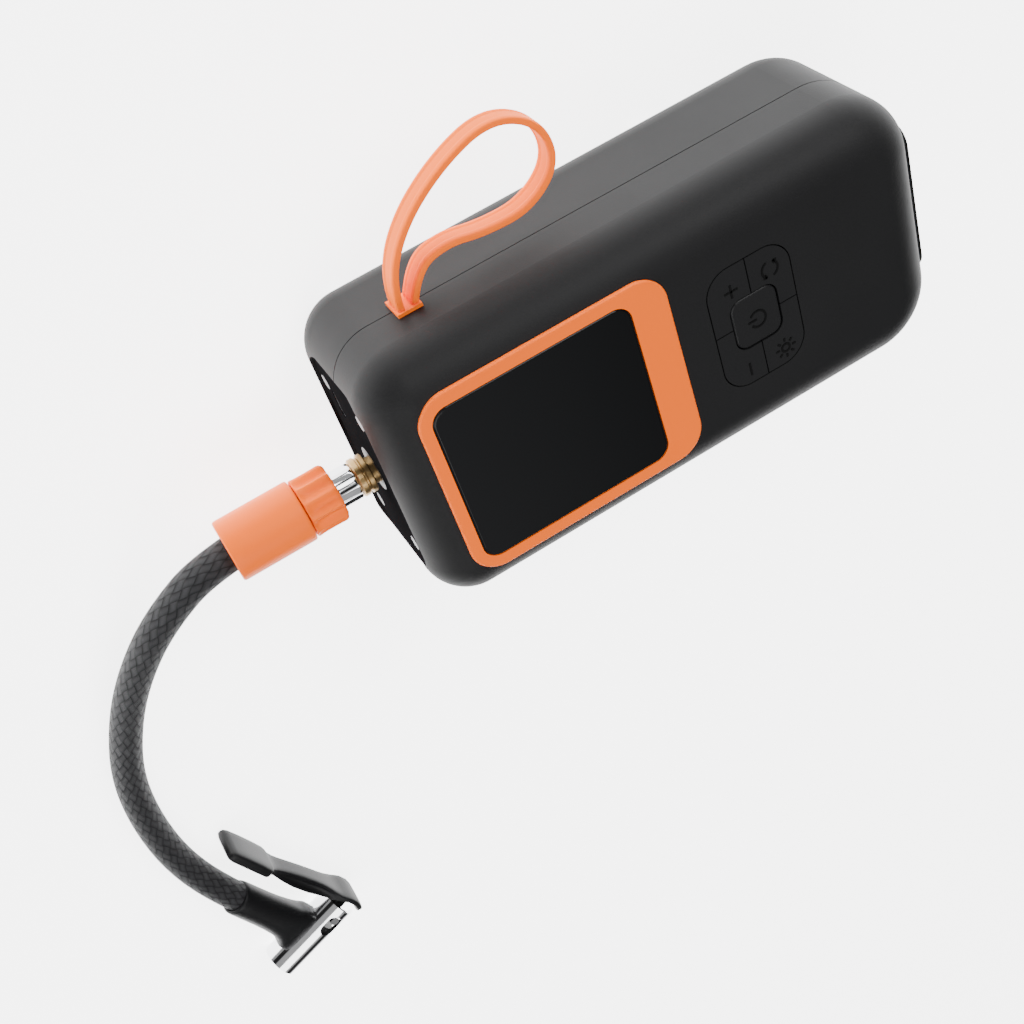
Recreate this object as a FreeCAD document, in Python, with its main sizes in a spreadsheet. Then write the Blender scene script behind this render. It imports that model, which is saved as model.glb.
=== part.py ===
"""Portable tyre inflator with a screw-on hose, a lever chuck and a wrist strap.

The inflator lies on its back: +Z comes out of the display face, +Y points at the hose outlet
and +X is the strap side. The origin is the centre of the footprint, at the back face.
"""
import FreeCAD, Part
import math
import os
import re
import Sketcher
from FreeCAD import Placement, Rotation, Vector

SIZES = {
    # housing
    "shell_half_width": 40.8, "shell_depth": 57.0, "outlet_face": 84.2, "far_face": -83.4,
    "wall": 2.4, "seam_height": 31.5, "seam_gap": 0.3, "shell_corner": 14.0,
    "far_corner": 20.0,
    "front_edge": 13.5, "back_edge": 12.0,
    "post_radius": 3.5, "post_x": 34.0, "post_near": -30.0, "post_far": 68.0,
    "screw_radius": 1.5, "screw_head": 2.8, "screw_top": 46.0, "counterbore": 5.0,
    # display
    "bezel_half": 30.4, "bezel_low": -0.4, "bezel_high": 73.5, "bezel_corner": 9.0,
    "bezel_depth": 1.6, "bezel_proud": 0.7, "glass_half": 26.35, "glass_low": 10.6,
    "glass_high": 69.9, "glass_corner": 5.0, "glass_proud": 0.9, "ledge": 2.0,
    "lcd_half": 23.5, "lcd_low": 14.0, "lcd_high": 66.5, "lcd_top": 55.2,
    # board and keys
    "board_half": 29.0, "board_low": -52.0, "board_high": 66.5, "board_bottom": 48.0,
    "board_thick": 1.6, "pad_half": 19.8, "pad_low": -37.4, "pad_high": -10.6,
    "pad_corner": 8.0, "key_gap": 0.35, "power_half_x": 8.0, "power_half_y": 7.3,
    "power_corner": 3.5, "key_bottom": 54.3, "stem_radius": 1.5, "stem_bottom": 53.0,
    "stem_hole": 1.9, "retainer_bottom": 52.2, "retainer_thick": 1.0, "retainer_rim": 2.5,
    "switch_half": 3.0, "switch_body": 51.4, "switch_top": 51.9, "switch_button": 1.6,
    "key_x": 12.5, "key_y": 7.8,
    # outlet end
    "panel_half": 31.0, "panel_half_z": 18.0, "panel_corner": 8.0, "panel_face": 83.2,
    "panel_back": 80.8, "outlet_x": -2.0, "mid_height": 28.5, "panel_screw_x": 22.0,
    "panel_screw_z": 12.0, "panel_screw_radius": 1.2, "panel_screw_head": 2.2,
    "socket_radius": 6.6, "socket_bore": 4.0, "socket_start": 64.0, "port_x": 16.0,
    "port_z": 20.0, "port_half": 4.5, "port_half_z": 1.65, "port_back": 75.5,
    "window_low": 3.0, "window_high": 18.0, "window_z": 37.0, "window_half_z": 2.2,
    # lamp end
    "lamp_half": 24.0, "lamp_half_z": 19.5, "lamp_corner": 6.0, "lamp_face": -84.2,
    "lamp_rim": 3.5, "lamp_lens_back": -81.4, "reflector_back": -77.4, "led_board_back": -76.2,
    "cup_wide": 6.2, "cup_narrow": 2.4, "cup_pitch": 13.4, "led_half": 1.5, "led_high": 0.8,
    # battery
    "cell_radius": 9.2, "cell_half": 32.5, "cell_y_far": -63.4, "cell_y_near": -44.6,
    "cell_z_low": 13.0, "cell_z_high": 32.6, "holder_half": 35.5, "holder_gap": 0.5,
    "holder_low": -71.5, "holder_high": -36.5, "holder_bottom": 9.0, "holder_top": 43.0,
    "holder_bar": 3.4, "link_half": 4.0, "link_thick": 0.3,
    # motor and gears
    "frame_back": 5.5, "frame_thick": 2.5, "frame_low": -28.0, "frame_high": 29.0,
    "frame_foot": 8.5, "frame_bottom": 11.0, "frame_top": 46.0, "foot_reach": 20.0,
    "cross_wall": 26.0, "crank_y": 8.0, "gear_module": 0.8, "crank_teeth": 40.0,
    "pinion_teeth": 12.0, "gear_start": 0.5, "gear_thick": 4.0, "motor_radius": 13.4,
    "motor_end": 36.0, "motor_nose": 4.0, "shaft_radius": 1.15, "axle_radius": 2.0,
    "bearing_radius": 4.0, "bearing_long": 2.5, "bearing_boss": 5.5, "boss_end": 14.0,
    "cushion_radius": 4.0, "cushion_y": 19.0, "cushion_x": 15.0,
    # pump
    "crank_throw": 5.0, "crank_pin": 1.5, "rod_half": 1.6, "rod_eye": 3.6, "wrist_y": 45.5,
    "piston_radius": 6.9, "piston_low": 43.0, "piston_high": 51.5, "wrist_radius": 1.4,
    "seal_radius": 6.97, "seal_low": 48.6, "seal_high": 50.6, "seal_inner": 6.2,
    "cylinder_bore": 7.05, "cylinder_radius": 8.8, "cylinder_high": 53.0, "fin_radius": 11.0,
    "fin_thick": 1.2, "flange_thick": 2.5, "flange_half": 11.5, "reed_thick": 0.5,
    "head_half": 11.5, "head_top": 64.0, "head_bore": 1.5, "head_screw_at": 8.8,
    "head_screw_radius": 1.1, "head_screw_head": 2.1, "tube_radius": 2.0, "sensor_half": 4.0,
    "sensor_bottom": 44.0,
    # strap
    "plug_low": 55.2, "plug_high": 62.4, "plug_inner": 36.2, "plug_outer": 41.8,
    "plug_half_z": 4.2, "strap_z": 31.5, "strap_wide": 7.0, "strap_thick": 2.2,
    "plug_flange": 1.1,
    # screw coupling
    "thread_radius": 3.94, "thread_start": 75.8, "stud_bore": 1.2, "flange_radius": 5.65,
    "flange_start": 84.8, "flange_groove": 86.6, "flange_end": 89.0, "spindle_radius": 3.2,
    "spindle_end": 104.0,
    "tail_radius": 2.2, "tail_end": 109.0, "nut_radius": 5.4, "nut_end": 95.2,
    "nut_flute": 0.95, "nut_flute_at": 5.7, "collar_radius": 8.7, "collar_end": 105.3,
    "collar_flute": 1.9, "collar_flute_at": 10.0, "sleeve_start": 105.6, "sleeve_end": 128.2,
    "sleeve_radius": 9.0, "sleeve_hole": 2.28, "hose_radius": 5.0, "hose_start": 111.0,
    # chuck, in its own plane: X points back along the hose, Y at the tyre valve
    "chuck_x": -179.3, "chuck_y": 168.6, "chuck_z": 7.0, "chuck_turn": 21.5,
    "barrel_radius": 6.4, "barrel_bore": 5.2, "barrel_valve": 15.0, "barrel_top": -14.7,
    "lip": 1.0, "lip_hole": 4.4, "cuff_end": 37.5, "cuff_radius": 5.75, "cuff_flare": 6.3,
    "cuff_start": 5.6, "hose_end": 18.5, "stem_hole_radius": 2.0, "pin_y": -9.8,
    "lever_pin_radius": 1.5, "lever_bore": 1.56, "window_half": 2.6, "window_near": -3.4,
    "slot_half": 2.6, "web_half": 2.2, "hub_radius": 3.5, "lobe_radius": 2.5,
    "head_inner": 8.6, "head_outer": 10.5, "lever_half": 6.2, "seal_start": 6.0,
    "seal_end": 14.0, "valve_bore": 3.95, "plunger_radius": 5.12, "plunger_top": -5.9,
    "plunger_end": 3.8, "port_radius": 2.4,
}

HOSE_ROUTE = [
    (-2, 111, 28.5), (-2, 134, 28.5), (-14.5, 153, 24), (-31, 166.5, 17.5), (-50, 177.5, 11.4),
    (-73, 187, 7), (-96, 190.6, 5.5), (-119, 190, 5.5), (-140.5, 183.86, 7),
    (-162.09, 175.38, 7)]
STRAP_ROUTE = [
    (41.8, 60.7), (50.5, 60.4), (63, 52), (72.5, 38), (77.5, 22.5), (70.5, 10.5), (58, 9),
    (49.8, 19.5), (50, 33), (52.6, 43.5), (50, 53), (41.8, 56.7)]

doc = FreeCAD.newDocument("TyreInflator")
sheet = doc.addObject("Spreadsheet::Sheet", "Sizes")
for row, (alias, number) in enumerate(SIZES.items(), start=1):
    sheet.set(f"A{row}", alias)
    sheet.set(f"B{row}", str(number))
    sheet.setAlias(f"B{row}", alias)
doc.recompute()

NODES = []


# ---------------------------------------------------------------- expressions and sketches

def linked(text):
    """The expression with every size name pointed at the sheet."""
    return re.sub(r"[a-z]+(_[a-z]+)*", lambda word: f"Sizes.{word[0]}" if word[0] in SIZES else word[0],
                  str(text))


def number(text):
    """The value of an expression in size names."""
    result = sheet.evalExpression(str(text))
    return float(getattr(result, "Value", result))


def bind(thing, **expressions):
    """Bind properties to expressions; x, y and z bind the placement's base."""
    for name, text in expressions.items():
        path = f"Placement.Base.{name}" if name in "xyz" else name
        thing.setExpression(path, linked(text))


def keep(thing, name):
    """Give a finished sub-part its label and list it for export."""
    thing.Label = name
    NODES.append(thing)
    return thing


def new_sketch(body, plane):
    """An empty sketch on one of the body's own origin planes."""
    sketch = body.newObject("Sketcher::SketchObject", body.Name + "Sketch")
    support = next(face for face in body.Origin.OriginFeatures if face.Role == plane)
    sketch.AttachmentSupport = [(support, "")]
    sketch.MapMode = "FlatFace"
    return sketch


def pin_point(sketch, curve, end, spot):
    """Hold one point of a curve at a distance from the sketch origin, by expressions."""
    for kind, text in zip(("DistanceX", "DistanceY"), spot):
        constraint = Sketcher.Constraint(kind, -1, 1, curve, end, number(text))
        index = sketch.addConstraint(constraint)
        sketch.setExpression(f"Constraints[{index}]", linked(text))


def draw_polygon(sketch, corners):
    """A closed outline whose corners are pairs of expressions."""
    spots = [Vector(number(across), number(up), 0) for across, up in corners]
    count = len(spots)
    for index in range(count):
        sketch.addGeometry(Part.LineSegment(spots[index], spots[(index + 1) % count]))
    for index, corner in enumerate(corners):
        sketch.addConstraint(Sketcher.Constraint("Coincident", index, 2, (index + 1) % count, 1))
        pin_point(sketch, index, 1, corner)


def draw_circle(sketch, across, up, radius):
    """A circle with its centre and radius held by expressions."""
    middle = Vector(number(across), number(up), 0)
    curve = sketch.addGeometry(Part.Circle(middle, Vector(0, 0, 1), number(radius)))
    index = sketch.addConstraint(Sketcher.Constraint("Radius", curve, number(radius)))
    sketch.setExpression(f"Constraints[{index}]", linked(radius))
    pin_point(sketch, curve, 3, (across, up))


# ---------------------------------------------------------------- shapes

FACING = {"x": ("YZ_Plane", 1), "y": ("XZ_Plane", -1), "z": ("XY_Plane", 1)}
TURN = {"x": Rotation(Vector(0, 1, 0), 90), "y": Rotation(Vector(1, 0, 0), -90), "z": Rotation()}


def new_body(name):
    """A PartDesign body."""
    return doc.addObject("PartDesign::Body", name)


def edges_along(shape, axis):
    """Names of the straight edges that run along an axis."""
    names = []
    for index, edge in enumerate(shape.Edges, start=1):
        span = edge.BoundBox
        lengths = {"x": span.XLength, "y": span.YLength, "z": span.ZLength}
        others = [length for key, length in lengths.items() if key != axis]
        if lengths[axis] > 1e-4 and max(others) < 1e-4:
            names.append(f"Edge{index}")
    return names


def edges_at(shape, height):
    """Names of the edges that lie at one height."""
    return [f"Edge{index}" for index, edge in enumerate(shape.Edges, start=1)
            if abs(edge.BoundBox.ZMin - height) < 1e-4 and abs(edge.BoundBox.ZMax - height) < 1e-4]


def round_edges(body, names, radius):
    """Fillet the named edges of the body's last feature."""
    last = body.Tip
    fillet = body.newObject("PartDesign::Fillet", body.Name + "Round")
    fillet.Base = (last, names)
    bind(fillet, Radius=radius)
    body.Tip = fillet
    doc.recompute()
    return fillet


def plate(name, across, up, low, high, corner=None, facing="z"):
    """A plate with round corners: spans across and up, thickness from low to high."""
    body = new_body(name)
    plane, sign = FACING[facing]
    sketch = new_sketch(body, plane)
    draw_polygon(sketch, [(across[0], up[0]), (across[1], up[0]), (across[1], up[1]),
                          (across[0], up[1])])
    pad = body.newObject("PartDesign::Pad", body.Name + "Pad")
    pad.Profile = sketch
    bind(pad, Length=f"({high}) - ({low})")
    bind(body, **{facing: low if sign > 0 else high})
    doc.recompute()
    if corner:
        round_edges(body, edges_along(pad.Shape, facing), corner)
    return body


def turned(name, profile, base, along="y"):
    """A turned piece; the profile is (radius, distance along the axis) pairs."""
    body = new_body(name)
    sketch = new_sketch(body, "XZ_Plane")
    draw_polygon(sketch, profile)
    spin = body.newObject("PartDesign::Revolution", body.Name + "Spin")
    spin.Profile = sketch
    spin.ReferenceAxis = (sketch, ["V_Axis"])
    spin.Angle = 360
    body.Placement = Placement(Vector(), TURN[along])
    bind(body, x=base[0], y=base[1], z=base[2])
    doc.recompute()
    return body


def fluted(name, outer, bore, low, high, flutes, flute_radius, flute_at):
    """A ring along Y on the outlet axis, with a pattern of lengthwise flutes."""
    body = new_body(name)
    disc = new_sketch(body, "XY_Plane")
    draw_circle(disc, 0, 0, outer)
    draw_circle(disc, 0, 0, bore)
    pad = body.newObject("PartDesign::Pad", body.Name + "Pad")
    pad.Profile = disc
    bind(pad, Length=f"({high}) - ({low})")
    doc.recompute()
    groove = new_sketch(body, "XY_Plane")
    draw_circle(groove, flute_at, 0, flute_radius)
    pocket = body.newObject("PartDesign::Pocket", body.Name + "Flute")
    pocket.Profile = groove
    pocket.Reversed = True
    bind(pocket, Length=f"({high}) - ({low})")
    doc.recompute()
    if pocket.Shape.Volume >= pad.Shape.Volume:
        raise ValueError(f"{name}: the flute cuts nothing")
    pattern = body.newObject("PartDesign::PolarPattern", body.Name + "Flutes")
    pattern.Originals = [pocket]
    pattern.Axis = (groove, ["N_Axis"])
    pattern.Angle = 360
    pattern.Occurrences = flutes
    body.Tip = pattern
    body.Placement = Placement(Vector(), TURN["y"])
    bind(body, x="outlet_x", y=low, z="mid_height")
    doc.recompute()
    return body


def block(name, lows, highs):
    """A box between two corners whose coordinates are expressions."""
    box = doc.addObject("Part::Box", name)
    lengths = [f"({high}) - ({low})" for low, high in zip(lows, highs)]
    bind(box, Length=lengths[0], Width=lengths[1], Height=lengths[2])
    bind(box, x=lows[0], y=lows[1], z=lows[2])
    return box


def rod(name, radius, base, length, along="z"):
    """A cylinder from a base point along an axis."""
    cylinder = doc.addObject("Part::Cylinder", name)
    cylinder.Placement = Placement(Vector(), TURN[along])
    bind(cylinder, Radius=radius, Height=length)
    bind(cylinder, x=base[0], y=base[1], z=base[2])
    return cylinder


def joined(name, *shapes):
    """One piece out of shapes that touch."""
    fuse = doc.addObject("Part::MultiFuse", name)
    fuse.Shapes = list(shapes)
    fuse.Refine = True
    return fuse


def group(name, *shapes):
    """Separate solids kept in one node."""
    compound = doc.addObject("Part::Compound", name)
    compound.Links = list(shapes)
    return compound


def cut(name, base, *tools):
    """The base with the tools taken out of it."""
    result = doc.addObject("Part::Cut", name)
    result.Base = base
    result.Tool = tools[0] if len(tools) == 1 else group(name + "Tools", *tools)
    result.Refine = True
    return result


def common(name, base, tool):
    """What the base and the tool share."""
    result = doc.addObject("Part::Common", name)
    result.Base = base
    result.Tool = tool
    return result


def coded(name, shape, placement=None):
    """A sub-part whose shape comes from code."""
    feature = doc.addObject("Part::Feature", name)
    feature.Shape = shape
    if placement:
        feature.Placement = placement
    return feature


# ---------------------------------------------------------------- housing

def soft_block(name, inset):
    """The housing's rounded block, shrunk all round by the inset."""
    body = plate(name, (f"-shell_half_width + {inset}", f"shell_half_width - {inset}"),
                 (f"far_face + {inset}", f"outlet_face - {inset}"), inset, f"shell_depth - {inset}")
    for face, corner in ((f"far_face + {inset}", "far_corner"),
                         (f"outlet_face - {inset}", "shell_corner")):
        shape = body.Tip.Shape
        corners = [edge for edge in edges_along(shape, "z")
                   if abs(shape.getElement(edge).BoundBox.YMin - number(face)) < 1e-4]
        round_edges(body, corners, f"{corner} - {inset}")
    top = number("shell_depth") - number(inset)
    round_edges(body, edges_at(body.Tip.Shape, top - number(inset)), f"front_edge - {inset}")
    round_edges(body, edges_at(body.Tip.Shape, 0), f"back_edge - {inset}")
    return body


def outlet_plate(name, low, high, inset="0"):
    """A plate with the end panel's outline."""
    return plate(name, (f"-panel_half + {inset}", f"panel_half - {inset}"),
                 (f"mid_height - panel_half_z + {inset}", f"mid_height + panel_half_z - {inset}"),
                 low, high, f"panel_corner - {inset}", "y")


def lamp_plate(name, low, high, inset="0"):
    """A plate with the lamp bezel's outline, shrunk by the inset."""
    return plate(name, (f"-lamp_half + {inset}", f"lamp_half - {inset}"),
                 (f"mid_height - lamp_half_z + {inset}", f"mid_height + lamp_half_z - {inset}"),
                 low, high, f"lamp_corner - {inset}" if inset == "0" else "lamp_corner / 2", "y")


def bezel_plate(name, low, high):
    """A plate with the display bezel's outline."""
    return plate(name, ("-bezel_half", "bezel_half"), ("bezel_low", "bezel_high"), low, high,
                 "bezel_corner")


def glass_plate(name, low, high, inset="0"):
    """A plate with the display glass's outline, shrunk by the inset."""
    return plate(name, (f"-glass_half + {inset}", f"glass_half - {inset}"),
                 (f"glass_low + {inset}", f"glass_high - {inset}"), low, high,
                 f"glass_corner - {inset}")


def pad_plate(name, low, high, grow="0"):
    """A plate with the keypad's outline, grown by a margin."""
    return plate(name, (f"-pad_half - {grow}", f"pad_half + {grow}"),
                 (f"pad_low - {grow}", f"pad_high + {grow}"), low, high, f"pad_corner + {grow}")


POSTS = [(side, spot) for side in (-1, 1) for spot in ("post_near", "post_far")]
CORNERS = [(-1, -1), (-1, 1), (1, -1), (1, 1)]


def housing_screws():
    """Screws that hold the two covers together, driven from the back."""
    screws = []
    for index, (side, spot) in enumerate(POSTS):
        place = (f"{side} * post_x", spot)
        head = rod(f"HousingHead{index}", "screw_head", (*place, "counterbore - 2"), "2")
        shank = rod(f"HousingShank{index}", "screw_radius", (*place, "counterbore"),
                    "screw_top - counterbore")
        screws.append(joined(f"HousingScrew{index}", head, shank))
    return group("HousingScrews", *screws)


def panel_screws():
    """Screws in the corners of the end panel."""
    screws = []
    for index, (side, rise) in enumerate(CORNERS):
        place = (f"{side} * panel_screw_x", f"mid_height + {rise} * panel_screw_z")
        head = rod(f"PanelHead{index}", "panel_screw_head", (place[0], "panel_face - 1.2", place[1]),
                   "1.4", "y")
        shank = rod(f"PanelShank{index}", "panel_screw_radius", (place[0], "panel_face - 9", place[1]),
                    "7.8", "y")
        screws.append(joined(f"PanelScrew{index}", head, shank))
    return group("PanelScrews", *screws)


def panel_posts(name, rise):
    """Posts and ribs behind the end panel on one cover, for its screws."""
    shapes = []
    for side in (-1, 1):
        height = f"mid_height + {rise} * panel_screw_z"
        shapes.append(rod(f"{name}Post{side + 1}", "panel_screw_radius + 1.6",
                          (f"{side} * panel_screw_x", "panel_back - 8", height), "8", "y"))
        wall = ("shell_depth - wall / 2", "wall / 2")[rise < 0]
        low, high = (height, wall) if rise > 0 else (wall, height)
        shapes.append(block(f"{name}Rib{side + 1}", (f"{side} * panel_screw_x - 1", "panel_back - 8", low),
                            (f"{side} * panel_screw_x + 1", "panel_back", high)))
    return shapes


def strap_plug():
    """The moulded plug that anchors the wrist strap in the side wall."""
    outer = block("PlugOuter", ("plug_inner", "plug_low", "strap_z - plug_half_z"),
                  ("plug_outer", "plug_high", "strap_z + plug_half_z"))
    flange = block("PlugFlange",
                   ("plug_inner", "plug_low - plug_flange", "strap_z - plug_half_z - plug_flange"),
                   ("plug_inner + 2.2", "plug_high + plug_flange", "strap_z + plug_half_z + plug_flange"))
    return joined("StrapPlug", outer, flange)


def half_cover(name, shell, low, high, posts, openings):
    """One cover: its share of the shell and the posts, with its openings cut."""
    slab = block(name + "Half", ("-shell_half_width - 1", "far_face - 1", low),
                 ("shell_half_width + 1", "outlet_face + 1", high))
    core = soft_block(name + "Core", "wall / 2")
    inside = common(name + "Posts", joined(name + "AllPosts", *posts), core)
    return cut(name, joined(name + "Solid", common(name + "Shell", shell, slab), inside), *openings)


def build_housing():
    """Covers, end panel, lamp set, bezel, glass, strap plug and the screws between them."""
    shell = cut("Shell", soft_block("ShellOuter", "0"), soft_block("ShellInner", "wall"))
    screws = keep(housing_screws(), "housing_screws")
    end_screws = keep(panel_screws(), "end_panel_screws")
    plug = keep(strap_plug(), "strap_plug")
    panel_hole = outlet_plate("PanelHole", "panel_back", "outlet_face + 1")
    lamp_hole = lamp_plate("LampHole", "far_face - 1", "far_face + wall + 2")
    openings = [panel_hole, lamp_hole, plug, screws, end_screws]
    wells = [rod(f"Well{index}", "screw_head", (f"{side} * post_x", spot, "-1"), "counterbore + 1")
             for index, (side, spot) in enumerate(POSTS)]
    front_posts = [rod(f"FrontPost{index}", "post_radius", (f"{side} * post_x", spot, "seam_height"),
                       "shell_depth - wall / 2 - seam_height")
                   for index, (side, spot) in enumerate(POSTS)]
    back_posts = [rod(f"BackPost{index}", "post_radius", (f"{side} * post_x", spot, "wall / 2"),
                      "seam_height - seam_gap - wall / 2")
                  for index, (side, spot) in enumerate(POSTS)]
    recess = bezel_plate("BezelRecess", "shell_depth - bezel_depth", "shell_depth + 1")
    window = glass_plate("Window", "shell_depth - wall - 1", "shell_depth", "ledge")
    keyhole = pad_plate("KeyHole", "shell_depth - wall - 1", "shell_depth + 1")
    front = half_cover("FrontCover", shell, "seam_height", "shell_depth + 1",
                       front_posts + panel_posts("Front", 1), openings + [recess, window, keyhole])
    keep(front, "front_cover")
    back = half_cover("RearCover", shell, "-1", "seam_height - seam_gap",
                      back_posts + panel_posts("Back", -1), openings + wells)
    keep(back, "rear_cover")
    hole = glass_plate("BezelHole", "shell_depth - bezel_depth - 1", "shell_depth + 2")
    ring = bezel_plate("BezelRing", "shell_depth - bezel_depth", "shell_depth + bezel_proud")
    top = number("bezel_depth") + number("bezel_proud")
    round_edges(ring, edges_at(ring.Tip.Shape, top), "0.6")
    keep(cut("Bezel", ring, hole), "display_bezel")
    glass = glass_plate("Glass", "shell_depth - bezel_depth", "shell_depth + glass_proud")
    top = number("bezel_depth") + number("glass_proud")
    round_edges(glass, edges_at(glass.Tip.Shape, top), "1.0")
    keep(glass, "display_lens")
    return end_screws


# ---------------------------------------------------------------- lamp end

def build_lamp():
    """Bezel, lens, reflector with three cups, and the board with its lamps."""
    ring = lamp_plate("LampRing", "lamp_face", "reflector_back")
    keep(cut("LampBezel", ring, lamp_plate("LampRingHole", "lamp_face - 1", "reflector_back + 1",
                                           "lamp_rim")), "lamp_bezel")
    keep(lamp_plate("LampLens", "lamp_face + 0.8", "lamp_lens_back", "lamp_rim"), "lamp_lens")
    cups = []
    lamps = []
    for step in (-1, 0, 1):
        cup = doc.addObject("Part::Cone", f"Cup{step + 1}")
        cup.Placement = Placement(Vector(), TURN["y"])
        bind(cup, Radius1="cup_wide", Radius2="cup_narrow", Height="reflector_back - lamp_lens_back")
        bind(cup, x=f"{step} * cup_pitch", y="lamp_lens_back", z="mid_height")
        cups.append(cup)
        lamps.append(block(f"Lamp{step + 1}",
                           (f"{step} * cup_pitch - led_half", "reflector_back - led_high",
                            "mid_height - led_half"),
                           (f"{step} * cup_pitch + led_half", "reflector_back",
                            "mid_height + led_half")))
    tray = lamp_plate("ReflectorTray", "lamp_lens_back", "reflector_back", "lamp_rim")
    keep(cut("Reflector", tray, *cups), "lamp_reflector")
    board = lamp_plate("LampBoard", "reflector_back", "led_board_back", "lamp_rim")
    keep(joined("LedBoard", board, *lamps), "led_board")


# ---------------------------------------------------------------- keys, board and display

KEYS = {"plus_button": (1, 1), "minus_button": (-1, 1), "mode_button": (1, -1),
        "light_button": (-1, -1)}
PAD_MIDDLE = "(pad_low + pad_high) / 2"


def key_stem(name, across, up):
    """The stem under a key that presses its switch."""
    return rod(name, "stem_radius", (across, up, "stem_bottom"), "key_bottom - stem_bottom + 0.5")


def power_plate(name, low, high, grow="0"):
    """A plate with the power key's outline, grown by a margin."""
    return plate(name, (f"-power_half_x - {grow}", f"power_half_x + {grow}"),
                 (f"{PAD_MIDDLE} - power_half_y - {grow}", f"{PAD_MIDDLE} + power_half_y + {grow}"),
                 low, high, f"power_corner + {grow}")


def build_keys():
    """Five keys, the retainer plate under them and the switches that they press."""
    spots = [("0", PAD_MIDDLE)]
    power = power_plate("PowerKey", "key_bottom", "shell_depth")
    round_edges(power, edges_at(power.Tip.Shape, number("shell_depth - key_bottom")), "0.6")
    keep(joined("PowerButton", power, key_stem("PowerStem", *spots[0])), "power_button")
    for name, (side, rise) in KEYS.items():
        spot = (f"{side} * key_x", f"{PAD_MIDDLE} + {rise} * key_y")
        spots.append(spot)
        lows = ["key_gap / 2" if sign > 0 else f"-{reach}"
                for sign, reach in ((side, "pad_half"), (rise, "pad_half"))]
        highs = ["pad_half" if sign > 0 else "-key_gap / 2" for sign in (side, rise)]
        quarter = block(name + "Quarter",
                        (lows[0], f"{PAD_MIDDLE} + {lows[1]}", "key_bottom"),
                        (highs[0], f"{PAD_MIDDLE} + {highs[1]}", "shell_depth"))
        sheet_key = pad_plate(name + "Pad", "key_bottom", "shell_depth", "(-key_gap)")
        cap = cut(name + "Cap", common(name + "Corner", sheet_key, quarter),
                  power_plate(name + "Gap", "key_bottom - 1", "shell_depth + 1", "key_gap"))
        keep(joined(name + "Key", cap, key_stem(name + "Stem", *spot)), name)
    holes = [rod(f"StemHole{index}", "stem_hole", (*spot, "retainer_bottom - 1"), "4")
             for index, spot in enumerate(spots)]
    tray = pad_plate("RetainerPlate", "retainer_bottom", "shell_depth - wall", "retainer_rim")
    well = pad_plate("RetainerWell", "retainer_bottom + retainer_thick", "shell_depth + 1", "0.6")
    keep(cut("KeyRetainer", tray, well, *holes), "key_retainer")
    switches = []
    for index, (across, up) in enumerate(spots):
        body = block(f"SwitchBody{index}",
                     (f"{across} - switch_half", f"{up} - switch_half", "board_bottom + board_thick"),
                     (f"{across} + switch_half", f"{up} + switch_half", "switch_body"))
        button = rod(f"SwitchButton{index}", "switch_button", (across, up, "switch_body"),
                     "switch_top - switch_body")
        switches.append(joined(f"Switch{index}", body, button))
    keep(group("KeySwitches", *switches), "key_switches")


def build_board():
    """The main board, the display module on it and the pressure sensor under it."""
    keep(plate("MainBoard", ("-board_half", "board_half"), ("board_low", "board_high"),
               "board_bottom", "board_bottom + board_thick", "2"), "main_board")
    keep(block("LcdModule", ("-lcd_half", "lcd_low", "board_bottom + board_thick"),
               ("lcd_half", "lcd_high", "lcd_top")), "lcd_module")
    keep(block("PressureSensor", ("outlet_x - sensor_half", "58 - sensor_half", "sensor_bottom"),
               ("outlet_x + sensor_half", "58 + sensor_half", "board_bottom")), "pressure_sensor")
    keep(rod("PressureTube", "tube_radius", ("outlet_x", "58", "mid_height + head_half"),
             "sensor_bottom - mid_height - head_half"), "pressure_tube")


# ---------------------------------------------------------------- outlet end

def build_outlet(end_screws):
    """The end panel with its window and charging port, and the threaded outlet."""
    axis = ("outlet_x", "panel_back", "mid_height")
    socket = turned("OutletSocket", [
        ("head_bore", "0"), ("6", "0"), ("6", "9"), ("socket_radius", "9"),
        ("socket_radius", "panel_face - socket_start"), ("socket_bore", "panel_face - socket_start"),
        ("socket_bore", "thread_start - 0.6 - socket_start"),
        ("head_bore", "thread_start - 0.6 - socket_start")],
        ("outlet_x", "socket_start", "mid_height"))
    keep(socket, "outlet_socket")
    window = plate("IndicatorWindow", ("window_low", "window_high"),
                   ("window_z - window_half_z", "window_z + window_half_z"), "panel_back",
                   "panel_face - 0.2", "window_half_z - 0.05", "y")
    keep(window, "indicator_window")
    port_outline = ("port_x - port_half", "port_x + port_half")
    port_height = ("port_z - port_half_z", "port_z + port_half_z")
    port = plate("PortShell", port_outline, port_height, "port_back", "panel_face - 0.2",
                 "port_half_z - 0.05", "y")
    mouth = plate("PortMouth", ("port_x - port_half + 0.35", "port_x + port_half - 0.35"),
                  ("port_z - port_half_z + 0.35", "port_z + port_half_z - 0.35"), "port_back + 1",
                  "panel_face + 1", "port_half_z - 0.4", "y")
    tongue = block("PortTongue", ("port_x - 3.3", "port_back + 0.5", "port_z - 0.35"),
                   ("port_x + 3.3", "panel_face - 1.4", "port_z + 0.35"))
    keep(joined("UsbPort", cut("PortTube", port, mouth), tongue), "usb_port")
    port_hole = plate("PortHole", port_outline, port_height, "panel_back - 1", "panel_face + 1",
                      "port_half_z - 0.05", "y")
    socket_hole = rod("SocketHole", "socket_radius", (axis[0], "panel_back - 1", axis[2]), "4", "y")
    keep(cut("EndPanel", outlet_plate("PanelPlate", "panel_back", "panel_face"), window, port_hole,
             socket_hole, end_screws), "end_panel")


# ---------------------------------------------------------------- battery

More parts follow.
